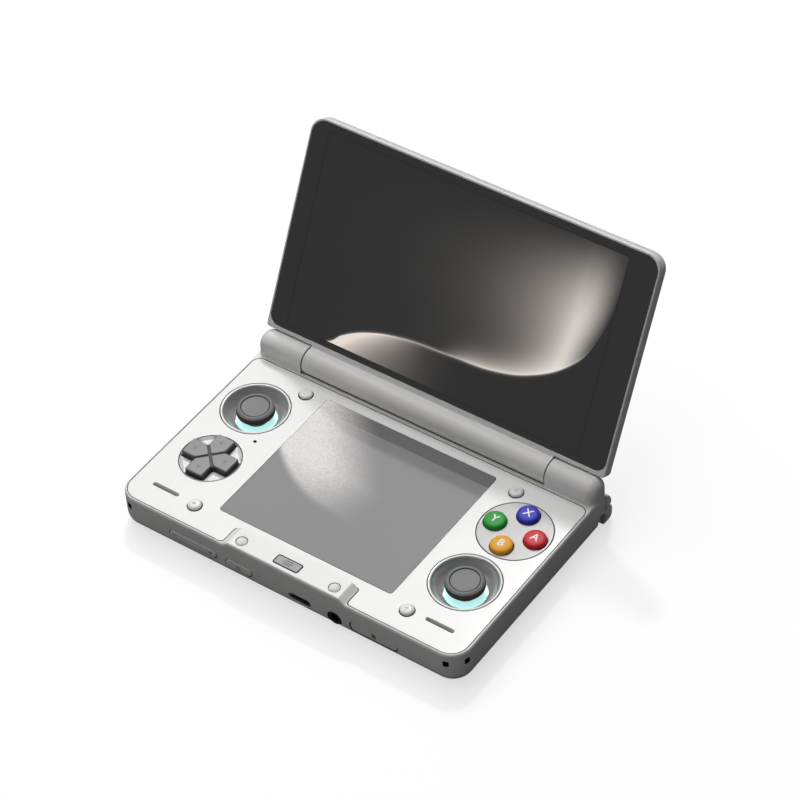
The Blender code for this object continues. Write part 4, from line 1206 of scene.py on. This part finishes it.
@dataclass
class FrontKeys:
    """What sits in the raised lip and the front wall: menu key, lid rests, side keys, card door and ports."""

    bevel: float = 0.35
    mark_lift: float = 0.05
    foot_spare: float = 0.65

    def menu_key(self) -> None:
        """The menu key: a bevelled bar with three short lines on it."""
        low, high = extent("menu_key")
        centre = (low + high)[:2] / 2
        made = Surface().block(rounded(low[0], high[0], low[1], high[1], 0.8, steps=7), low[2] + self.foot_spare,
                               high[2] - 0.03, 0, self.bevel)
        for shift in (-0.85, 0.0, 0.85):
            bar = pill(centre + [0, shift], 4.6 - abs(shift) * 1.6, 0.34, 6)
            made.tube([level(bar, high[2] - 0.2), level(bar, high[2])], 1)
        piece = made.object("menu_bar_key", [MENU_GREY.build(), MENU_MARK.build()], 40)
        fitted(piece, "menu_key", "menu_grey", "menu_key")

    def rests(self) -> None:
        """The two soft domes the closed lid lies on."""
        for side in Side:
            low, high = extent(f"lid_rest_{side.label}")
            centre, radius = (low + high)[:2] / 2, (high - low)[0] / 2
            dome = softened([(0.0, high[2]), (radius * 0.55, high[2] - 0.03), (radius, high[2] - 0.5), (radius, low[2]),
                             (0.0, low[2])], 0.7, 8, closed=False)
            made = Surface().turned(dome, centre, 56)
            fitted(made.object(f"rest_dome_{side.label}", [SOFT_WHITE.build()], 45), "base", "lid_rest",
                   f"lid_rest_{side.label}")

    def wall_key(self, node: str, name: str, body: str, marks: Callable[[Array], list[Array]]) -> None:
        """A pill-shaped key in the front wall, its face rounded over and its marks standing a hair proud.

        Args:
            node: The frame node it stands for.
            name: The piece's name.
            body: The body it rides on.
            marks: Gives the marks' outlines in X and Z from the key's middle.
        """
        low, high = extent(node)
        centre = ((low + high) / 2)[[0, 2]]
        loop = pill(centre, high[0] - low[0], high[2] - low[2], 16)
        face = low[1] + self.mark_lift
        wall = face + self.bevel + 0.15
        rings = [upright(loop, wall)] + [upright(grown(loop, -inset), face + drop)
                                         for inset, drop in fillet(self.bevel, 6)[::-1]]
        made = Surface().grid(rings).cap(rings[-1])
        # The key's body behind its face, inside the opening, is black as painted shade in the gap.
        made.grid([upright(loop, high[1]), rings[0]], 2).cap(upright(loop, high[1]), 2)
        for outline in marks(centre):
            made.tube([upright(outline, face + 0.3), upright(outline, low[1])], 1)
        fitted(made.object(name, [KEY_SHELL.build(), FAINT_DARK.build(), BLACK_AND_GAP_SHADE.build()], 40), body,
               "shell", node)

    @staticmethod
    def volume_marks(centre: Array) -> list[Array]:
        """A minus at the left end and a plus at the right."""
        return [pill(centre + [-8.0, 0], 1.7, 0.34, 5), cross(centre + [8.0, 0], 1.7, 0.34)]

    @staticmethod
    def power_marks(centre: Array) -> list[Array]:
        """A short upright bar over a broken arc."""
        sweep = arc(centre, 0.95, 130, 410, 20)
        inner = arc(centre, 0.68, 410, 130, 20)
        return [np.concatenate([sweep, inner]), pill((0, 0), 0.95, 0.3, 5)[:, ::-1] + centre + [0, 0.75]]

    @staticmethod
    def card_marks(centre: Array) -> list[Array]:
        """A small card's outline with a cut corner."""
        card = np.array([(-0.9, -1.1), (0.9, -1.1), (0.9, 0.5), (0.3, 1.1), (-0.9, 1.1)]) + centre
        return [card]

    def ports(self) -> None:
        """The charging port's sleeve and tongue, and the round headphone jack."""
        low, high = extent("usb_port")
        centre = ((low + high) / 2)[[0, 2]]
        width, height = high[0] - low[0], high[2] - low[2]
        made = Surface()
        outer, inner = pill(centre, width, height, 14), pill(centre, width - 0.7, height - 0.7, 14)
        made.grid([upright(outer, high[1]), upright(outer, low[1] + 0.1), upright(grown(outer, -0.1), low[1]),
                   upright(grown(inner, 0.1), low[1]), upright(inner, low[1] + 0.1), upright(inner, low[1] + 2.2)])
        made.cap(upright(inner, low[1] + 2.2)).cap(upright(outer, high[1]))
        tongue = rounded(centre[0] - 3.2, centre[0] + 3.2, centre[1] - 0.35, centre[1] + 0.35, 0.2, steps=4)
        made.tube([upright(grown(tongue, -0.1), low[1] + 1.2), upright(tongue, low[1] + 1.4),
                   upright(tongue, low[1] + 2.5)], 1)
        fitted(made.object("charging_port", [STEEL.build(), BLACK_AND_GAP_SHADE.build()], 40), "base", "steel", "usb_port")
        low, high = extent("headphone_jack")
        centre, radius = ((low + high) / 2)[[0, 2]], (high[0] - low[0]) / 2
        made = Surface()
        profile = [(radius, high[1]), (radius, low[1] + 0.2), (radius - 0.2, low[1]), (1.95, low[1]),
                   (1.75, low[1] + 0.2), (1.75, high[1] - 1.5), (0.0, high[1] - 1.5)]
        rings = [upright(circle(centre, r, 64), y) for r, y in profile]
        made.grid(rings).cap(rings[0])
        fitted(made.object("audio_jack", [BLACK_AND_GAP_SHADE.build()], 40), "base", "black_plastic", "headphone_jack")

    def build(self) -> None:
        """Makes every piece of the front."""
        self.menu_key()
        self.rests()
        self.wall_key("volume_rocker", "volume_key", "volume_rocker", self.volume_marks)
        self.wall_key("power_button", "power_key", "power_button", self.power_marks)
        self.wall_key("card_door", "card_slot_door", "card_door", self.card_marks)
        self.ports()


@dataclass
class ShoulderKeys:
    """Each side's bumper and, under it, the hooked trigger."""

    end_round: float = 0.7

    def carried(self, section: Array, x0: float, x1: float) -> Surface:
        """A section carried along X, drawn towards its middle in a quarter of an ellipse at both ends."""
        low, high = min(x0, x1), max(x0, x1)
        rounds, half = fillet(self.end_round, 7), np.ptp(section, axis=0).min() / 2
        middle = (section.min(axis=0) + section.max(axis=0)) / 2
        drawn = [middle + (section - middle) * (1 - 0.8 * inset / half) for inset, _ in rounds]
        rings = [crosswise(loop, low + drop) for loop, (_, drop) in zip(drawn, rounds)]
        rings += [crosswise(loop, high - drop) for loop, (_, drop) in zip(drawn[::-1], rounds[::-1])]
        return Surface().tube(rings)

    def build(self) -> None:
        """Makes the four keys."""
        for side in Side:
            low, high = extent(f"bumper_{side.label}")
            x0, x1 = low[0], high[0]
            bumper = softened([(46.9, 7.3), (50.5, 7.3), (50.4, 9.2), (49.8, 11.2), (48.6, 12.9), (47.4, 13.5),
                               (46.9, 13.5)], 1.1, 7)
            fitted(self.carried(bumper, x0, x1).object(f"bumper_key_{side.label}", [KEY_SHELL.build()]),
                   f"bumper_{side.label}", "shell", f"bumper_{side.label}")
            y, z = 46.5, 5.6
            hook = softened([(y - 1.1, z + 1.1), (y - 1.1, z - 0.5), (y + 0.5, z - 1.1), (y + 0.7, z - 2.4),
                             (y - 0.2, z - 3.5), (y - 1.6, z - 4.0), (y - 1.6, z - 5.1), (y + 2.9, z - 5.2),
                             (y + 4.1, z - 4.0), (y + 4.4, z - 1.4), (y + 4.1, z + 1.1)], 0.9, 7)
            fitted(self.carried(hook, x0, x1).object(f"trigger_key_{side.label}", [KEY_SHELL.build()]),
                   f"trigger_{side.label}", "shell", f"trigger_{side.label}")


@dataclass
class Lid:
    """The lid: rim and hinge barrel, back cover, and the edge-to-edge glass with its display."""

    shell: LowerShell
    opening: float = 117.96
    half_width: float = 74.6
    near: float = 5.8
    far: float = 89.76
    near_corner: float = 1.4
    far_corner: float = 6.4
    glass_ahead: float = 0.71
    thickness: float = 8.0
    back_round: float = 5.0
    split: float = -1.7
    glass: tuple[float, float, float, float] = (-73.7, 73.7, 7.51, 88.67)
    display: tuple[float, float, float, float] = (-66.3, 62.0, 9.9, 85.6)
    barrel_half: float = 53.59

    def leaned(self, points: Array) -> Array:
        """Points of the lid's own frame, turned about the hinge to the angle the lid stands at."""
        turn = math.radians(180 - self.opening)
        x, y, z = points.T
        return np.column_stack([x, self.shell.hinge_y + y * math.cos(turn) - z * math.sin(turn),
                                self.shell.hinge_z + y * math.sin(turn) + z * math.cos(turn)])

    def outline(self, inset: float = 0.0) -> Array:
        """The lid's plan drawn in by a distance."""
        return rounded(-self.half_width + inset, self.half_width - inset, self.near + inset, self.far - inset,
                       max(self.near_corner - inset, 0.3), max(self.far_corner - inset, 0.8), 16)

    def rim(self) -> None:
        """The rim, a frame round the glass with softened edges, and the hinge barrel on its web."""
        made, outer, top = Surface(), self.outline(), self.glass_ahead + 0.15
        x0, x1, y0, y1 = self.glass
        mouth = rounded(x0 - 0.16, x1 + 0.16, y0 - 0.16, y1 + 0.16, 4.16, 5.66, steps=14)
        seat, screen = -0.6, rounded(-69, 69, 10.4, 86, 2)
        made.sheet(grown(outer, -0.45), [grown(mouth, 0.14)], top)
        made.grid([level(grown(outer, -inset), top - drop) for inset, drop in fillet(0.45, 7)]
                  + [level(outer, self.split)])
        made.grid([level(grown(mouth, inset), top - drop) for inset, drop in fillet(0.14, 4)] + [level(mouth, seat)])
        made.sheet(mouth, [screen], seat).grid([level(screen, self.split), level(screen, seat)])
        made.sheet(outer, [screen], self.split).moved(self.leaned)
        # The second material is black: painted shade on the barrel's ends.
        piece = made.object("lid_rim", [SHELL.build(), BLACK_AND_GAP_SHADE.build()])
        carved(piece, self.barrel().moved(self.leaned), Carve.JOIN)
        bore = Surface().tube([crosswise(circle((0, 0), 2.15, 40), -self.barrel_half - 1),
                               crosswise(circle((0, 0), 2.15, 40), self.barrel_half + 1)]).moved(self.leaned)
        carved(piece, bore)
        fitted(piece, "lid", "shell", "lid_frame")

    def barrel(self) -> Surface:
        """The barrel and web: a circle that runs into a flat web through a hollow curve, carried along X."""
        radius, top = self.shell.barrel, self.glass_ahead + 0.155
        hollow = softened([(5.02, 1.42), (5.24, 0.98), (5.75, top), (7.0, top)], 0.5, 6, closed=False)
        round_part = arc((0, 0), radius, 15.8, 295.5, 72)
        back, seat = self.near - 0.32, self.split + 0.02
        web = np.array([(2.3, -4.65), (back, -4.65), (back, seat), (7.0, seat)])
        section = np.concatenate([round_part, web, hollow[::-1][:-1]])
        rounds, half = fillet(0.3, 5), self.barrel_half
        rings = [crosswise(grown(section, -inset), -half + drop) for inset, drop in rounds]
        rings += [crosswise(grown(section, -inset), half - drop) for inset, drop in rounds[::-1]]
        # Its ends, which face the knuckles across a gap, are black as painted shade.
        return Surface().grid(rings).cap(rings[0], 1).cap(rings[-1], 1)

    def cover(self) -> None:
        """The back cover: a tray with a broad round round its back."""
        made, outer, back = Surface(), self.outline(), self.glass_ahead - self.thickness
        mouth = self.split - GAP
        made.grid([level(self.outline(inset), back + drop) for inset, drop in fillet(self.back_round, 16)]
                  + [level(outer, mouth)])
        made.cap(level(self.outline(self.back_round), back))
        inner = rounded(-71, 71, 9.8, 86.2, 2.5)
        made.grid([level(inner, mouth), level(inner, back + 1.4)]).cap(level(inner, back + 1.4))
        made.sheet(outer, [inner], mouth).moved(self.leaned)
        fitted(made.object("lid_back_cover", [SHELL.build()]), "lid", "shell", "lid_cover")

    def pane(self) -> None:
        """The glass, whose front carries the display's own coordinates as a UV map."""
        x0, x1, y0, y1 = self.glass
        flat = Surface().block(rounded(x0, x1, y0, y1, 4.0, 5.5, steps=14), self.glass_ahead - 1.0,
                               self.glass_ahead, 0, 0.14)
        made = flat.moved(self.leaned).object("upper_screen", [self.display_material()])
        turn = math.radians(180 - self.opening)
        mesh = made.data
        corners = np.empty(len(mesh.loops), dtype=np.int32)
        mesh.loops.foreach_get("vertex_index", corners)
        points = places(mesh) / MM - [0, self.shell.hinge_y, self.shell.hinge_z]
        along = points[:, 1] * math.cos(turn) + points[:, 2] * math.sin(turn)
        left, right, near, far = self.display
        uv = np.column_stack([(points[:, 0] - left) / (right - left), (along - near) / (far - near)])
        mesh.uv_layers.new(name="display").data.foreach_set("uv", uv[corners].ravel())
        fitted(made, "lid", "screen_glass", "lid_glass")

    def display_material(self) -> bpy.types.Material:
        """Black glass over a display that shows a soft ribbon of light.

        A smooth curve runs across the display. Left of its middle the light lies under it, and right of its
        middle it lies above it, bounded on the right by a second curve. On both sides it falls off
        exponentially from the curve, over a weaker wash that falls off along the display.
        """
        material, shader = glossy("upper_display_glass", (0.012, 0.012, 0.012), 0.08)
        tree = material.node_tree
        source = tree.nodes.new("ShaderNodeUVMap")
        source.uv_map = "display"
        split = tree.nodes.new("ShaderNodeSeparateXYZ")
        tree.links.new(source.outputs[0], split.inputs[0])
        u, v = Wire(tree, split.outputs[0]), Wire(tree, split.outputs[1])
        ribbon = u.curve((0.0, 0.0), (0.145, 0.0), (0.19, 0.06), (0.264, 0.124), (0.375, 0.173), (0.547, 0.197),
                         (0.677, 0.213), (0.8, 0.272), (0.923, 0.419), (0.975, 0.585), (0.995, 0.74), (1.0, 0.9))
        above = v - ribbon
        under = above * -1.0
        crest = under.math("MAXIMUM", 0.0).math("MULTIPLY", -17.0).math("EXPONENT") * u.step(0.47, 0.2)
        wash = ((u - 0.25) * -9.0).math("EXPONENT") * u.step(0.62, 0.4) * 0.33
        left = under.step(-0.003, 0.003) * u.step(0.13, 0.15) * (crest + wash)
        bound = v.curve((0.0, 0.93), (0.42, 0.945), (0.7, 0.985), (1.0, 1.0))
        plateau = (u * 8.2 - 7.66).math("EXPONENT").math("MINIMUM", 0.66) * v.step(1.06, 0.62)
        plateau = plateau * (v.step(0.25, 0.6) * 0.45 + 0.55)
        decay = (u * -86.0 + 82.8).math("MAXIMUM", 6.0)
        rise = (above.math("MAXIMUM", 0.0) * decay * -1.0).math("EXPONENT") * u.step(0.5, 0.64) * 0.75
        right = above.step(-0.003, 0.006) * (plateau + rise) * (bound - u).step(-0.015, 0.08)
        grain = Finish.noise(tree, source.outputs[0], 700.0, 1.0).step(0.3, 0.7) * 0.08 + 0.94
        line = above.math("ABSOLUTE").math("MULTIPLY", -240.0).math("EXPONENT") * u.step(0.13, 0.16) * 0.5
        line = line * (bound - u).step(-0.012, 0.02)
        light = ((left + right) * grain + line).math("MINIMUM", 1.0)
        inside = u.step(0.0, 0.002) * u.step(1.0, 0.998) * v.step(0.0, 0.003) * v.step(1.0, 0.997)
        warm = u.curve((0.0, 1.0), (0.6, 0.85), (1.0, 0.35)).mix((0.74, 0.73, 0.69), (0.80, 0.71, 0.645))
        picture = (light * inside).mix((0.024, 0.024, 0.024), warm)
        border = (u.step(-0.004, 0.0) * u.step(1.004, 1.0) * v.step(-0.006, 0.0) * v.step(1.006, 1.0)) - inside
        shown = border.mix(picture, (0.017, 0.017, 0.017))
        tree.links.new(shown.socket, shader.inputs["Emission Color"])
        return material

    def build(self) -> None:
        """Makes the lid's pieces."""
        self.rim()
        self.cover()
        self.pane()


@dataclass
class Underside:
    """The bottom cover with its air slots, the ribbed rubber feet and the four screws."""

    rib: float = 0.12

    def cover(self) -> None:
        """The cover: a sheet with slots, pockets for the feet and counterbored screw holes."""
        (x0, y0, z0), (x1, y1, z1) = extent("bottom_cover")
        outer = rounded(x0, x1, y0, y1, 3.7)
        slots = [pill((0, 22 + 2.6 * row), 22, 1.2, 8) for row in range(6)]
        heads = [circle(extent(f"screw_{n}").mean(axis=0)[:2], 1.72, 32) for n in range(1, 5)]
        shanks = [circle(extent(f"screw_{n}").mean(axis=0)[:2], 1.0, 32) for n in range(1, 5)]
        pockets = [self.plan(node, 0.25) for node in FEET]
        made = Surface().sheet(grown(outer, -0.15), slots + heads + pockets, z0)
        made.grid([level(grown(outer, -inset), z0 + drop) for inset, drop in fillet(0.15, 3)] + [level(outer, z1)])
        for slot in slots:
            made.grid([level(slot, z0), level(slot, z1)])
        for head, shank in zip(heads, shanks):
            made.grid([level(head, z0), level(head, 1.1)]).sheet(head, [shank], 1.1)
            made.grid([level(shank, 1.1), level(shank, z1)])
        for pocket in pockets:
            made.grid([level(pocket, z0), level(pocket, 1.0)]).cap(level(pocket, 1.0))
        made.sheet(outer, slots + shanks, z1)
        fitted(made.object("underside_cover", [SHELL.build()]), "base", "shell", "bottom_cover")

    @staticmethod
    def plan(node: str, by: float = 0.0) -> Array:
        """A foot's plan moved out by a distance."""
        low, high = extent(node)
        return grown(rounded(low[0], high[0], low[1], high[1], 2.2, steps=8), by)

    def feet(self) -> None:
        """Each foot: a strip whose edge is rounded and whose face carries fine ribs along it."""
        for node in FEET:
            low, high = extent(node)
            made = Surface().block(self.plan(node), low[2] + self.rib, high[2], 0.25, 0)
            for row in np.linspace(low[1] + 1.1, high[1] - 1.1, 4):
                rib = pill(((low[0] + high[0]) / 2, row), high[0] - low[0] - 3.0, 0.4, 5)
                made.tube([level(rib, low[2]), level(rib, low[2] + self.rib + 0.1)])
            fitted(made.object(f"rubber_{node}", [FOOT_RUBBER.build()], 45), "base", "rubber", node)

    def screws(self) -> None:
        """Each screw: a pan head with a cross cut into it, over its shank."""
        for index in range(1, 5):
            low, high = extent(f"screw_{index}")
            centre = (low + high)[:2] / 2
            profile = softened([(0.0, low[2]), (1.2, low[2]), (1.6, low[2] + 0.35), (1.6, 0.8), (0.7, 0.8),
                                (0.7, high[2]), (0.0, high[2])], 0.2, 5, closed=False)
            made = Surface().turned(profile, centre, 40).object(f"cover_screw_{index}", [STEEL.build()])
            recess = cross(centre, 1.7, 0.36)
            carved(made, Surface().tube([level(recess, low[2] - 0.5), level(recess, low[2] + 0.4)]))
            fitted(made, "base", "steel", f"screw_{index}")

    def build(self) -> None:
        """Makes the underside."""
        self.cover()
        self.feet()
        self.screws()


def dress_inside() -> None:
    """Gives each frame node that stays its own finish."""
    for finish, nodes in INNER.items():
        material = finish.build()
        for node in nodes:
            mesh = frame["nodes"][node].data
            mesh.materials.clear()
            mesh.materials.append(material)
            LOG.info("%s: kept, finished as %s", node, finish.name)


@dataclass
class Studio:
    """A pale floor, soft lights and the camera."""

    floor_size: float = 6.0
    lens: float = 138.59
    eye: tuple[float, float, float] = (0.48466, -0.58225, 0.80904)
    right: tuple[float, float, float] = (0.8148, 0.5770, -0.0556)
    ahead: tuple[float, float, float] = (-0.4423, 0.5568, -0.7032)
    target: tuple[float, float, float] = (0.0, 0.01, 0.02)

    def camera(self) -> None:
        """The camera, its axes set from where it looks and its right hand."""
        data = bpy.data.cameras.new("camera")
        data.lens, data.sensor_width, data.clip_end = self.lens, 36.0, 50.0
        made = bpy.data.objects.new("camera", data)
        back = -Vector(self.ahead).normalized()
        up = back.cross(Vector(self.right)).normalized()
        across = up.cross(back)
        turn = Matrix((across, up, back)).transposed().to_4x4()
        made.matrix_world = Matrix.Translation(self.eye) @ turn
        bpy.context.scene.collection.objects.link(made)
        bpy.context.scene.camera = made

    def floor(self) -> None:
        """A wide flat floor whose paint is white to the eye and greyer to bounced light."""
        h = self.floor_size / 2 / MM
        corners = [[(-h, -h, -0.05), (h, -h, -0.05)], [(-h, h, -0.05), (h, h, -0.05)]]
        made = Surface().grid(np.array(corners), closed=False)
        material = bpy.data.materials.new("studio_floor")
        material.use_nodes = True
        tree = material.node_tree
        shader = tree.nodes["Principled BSDF"]
        shader.inputs["Roughness"].default_value = 0.9
        shader.inputs["Specular IOR Level"].default_value = 0.0
        path = Wire(tree, tree.nodes.new("ShaderNodeLightPath").outputs["Is Camera Ray"])
        tree.links.new(path.mix((0.16, 0.16, 0.16), (0.42, 0.42, 0.42)).socket, shader.inputs["Base Color"])
        tree.links.new(path.mix((0.0, 0.0, 0.0), (0.66, 0.66, 0.66)).socket, shader.inputs["Emission Color"])
        shader.inputs["Emission Strength"].default_value = 1.0
        piece = made.object("floor", [material])

    def panel(self, name: str, direction: Sequence[float], distance: float, size: float, power: float) -> None:
        """A square soft light that faces the console from a direction."""
        data = bpy.data.lights.new(name, "AREA")
        data.shape, data.size, data.energy = "SQUARE", size, power
        made = bpy.data.objects.new(name, data)
        toward = Vector(direction).normalized()
        made.location = Vector(self.target) + toward * distance
        made.rotation_euler = (-toward).to_track_quat("-Z", "Y").to_euler()
        bpy.context.scene.collection.objects.link(made)

    def sun(self, name: str, direction: Sequence[float], strength: float, angle: float) -> None:
        """A distant light whose shadows are soft by a few degrees."""
        data = bpy.data.lights.new(name, "SUN")
        data.energy, data.angle = strength, math.radians(angle)
        made = bpy.data.objects.new(name, data)
        made.location = Vector(direction).normalized() * 2.0
        made.rotation_euler = (-Vector(direction)).to_track_quat("-Z", "Y").to_euler()
        bpy.context.scene.collection.objects.link(made)

    def world(self) -> None:
        """A world that is white to the eye and a dim grey to everything else."""
        world = bpy.data.worlds.new("studio")
        bpy.context.scene.world = world
        world.use_nodes = True
        tree = world.node_tree
        path = Wire(tree, tree.nodes.new("ShaderNodeLightPath").outputs["Is Camera Ray"])
        tree.links.new(path.mix((0.07, 0.07, 0.07), (1.0, 1.0, 1.0)).socket, tree.nodes["Background"].inputs["Color"])

    def build(self) -> None:
        """Sets the stage."""
        bpy.context.scene.view_settings.view_transform = "Standard"
        self.camera()
        self.floor()
        self.world()
        self.panel("overhead", (-0.3, 0.1, 1.0), 1.4, 1.4, 9.5)
        self.panel("back_left", (-0.5, 0.6, 0.8), 1.5, 1.2, 8.2)
        self.panel("front_fill", (-0.05, -0.9, 0.85), 2.2, 1.0, 4.0)
        self.sun("window", (-35.0, 58.5, 82.6), 0.68, 4.0)


def main() -> None:
    """Builds the console in order, from the lower body to the lid, then the stage."""
    logging.basicConfig(level=logging.INFO, format="%(name)s %(message)s")
    Studio().build()
    shell = LowerShell()
    shell.build()
    FacePlate(shell).build()
    LowerScreen().build()
    for side in Side:
        Thumbstick(side).build()
    DirectionPad().build()
    FaceButtons().build()
    FrontKeys().build()
    ShoulderKeys().build()
    Lid(shell).build()
    Underside().build()
    dress_inside()


if __name__ == "__main__":
    main()
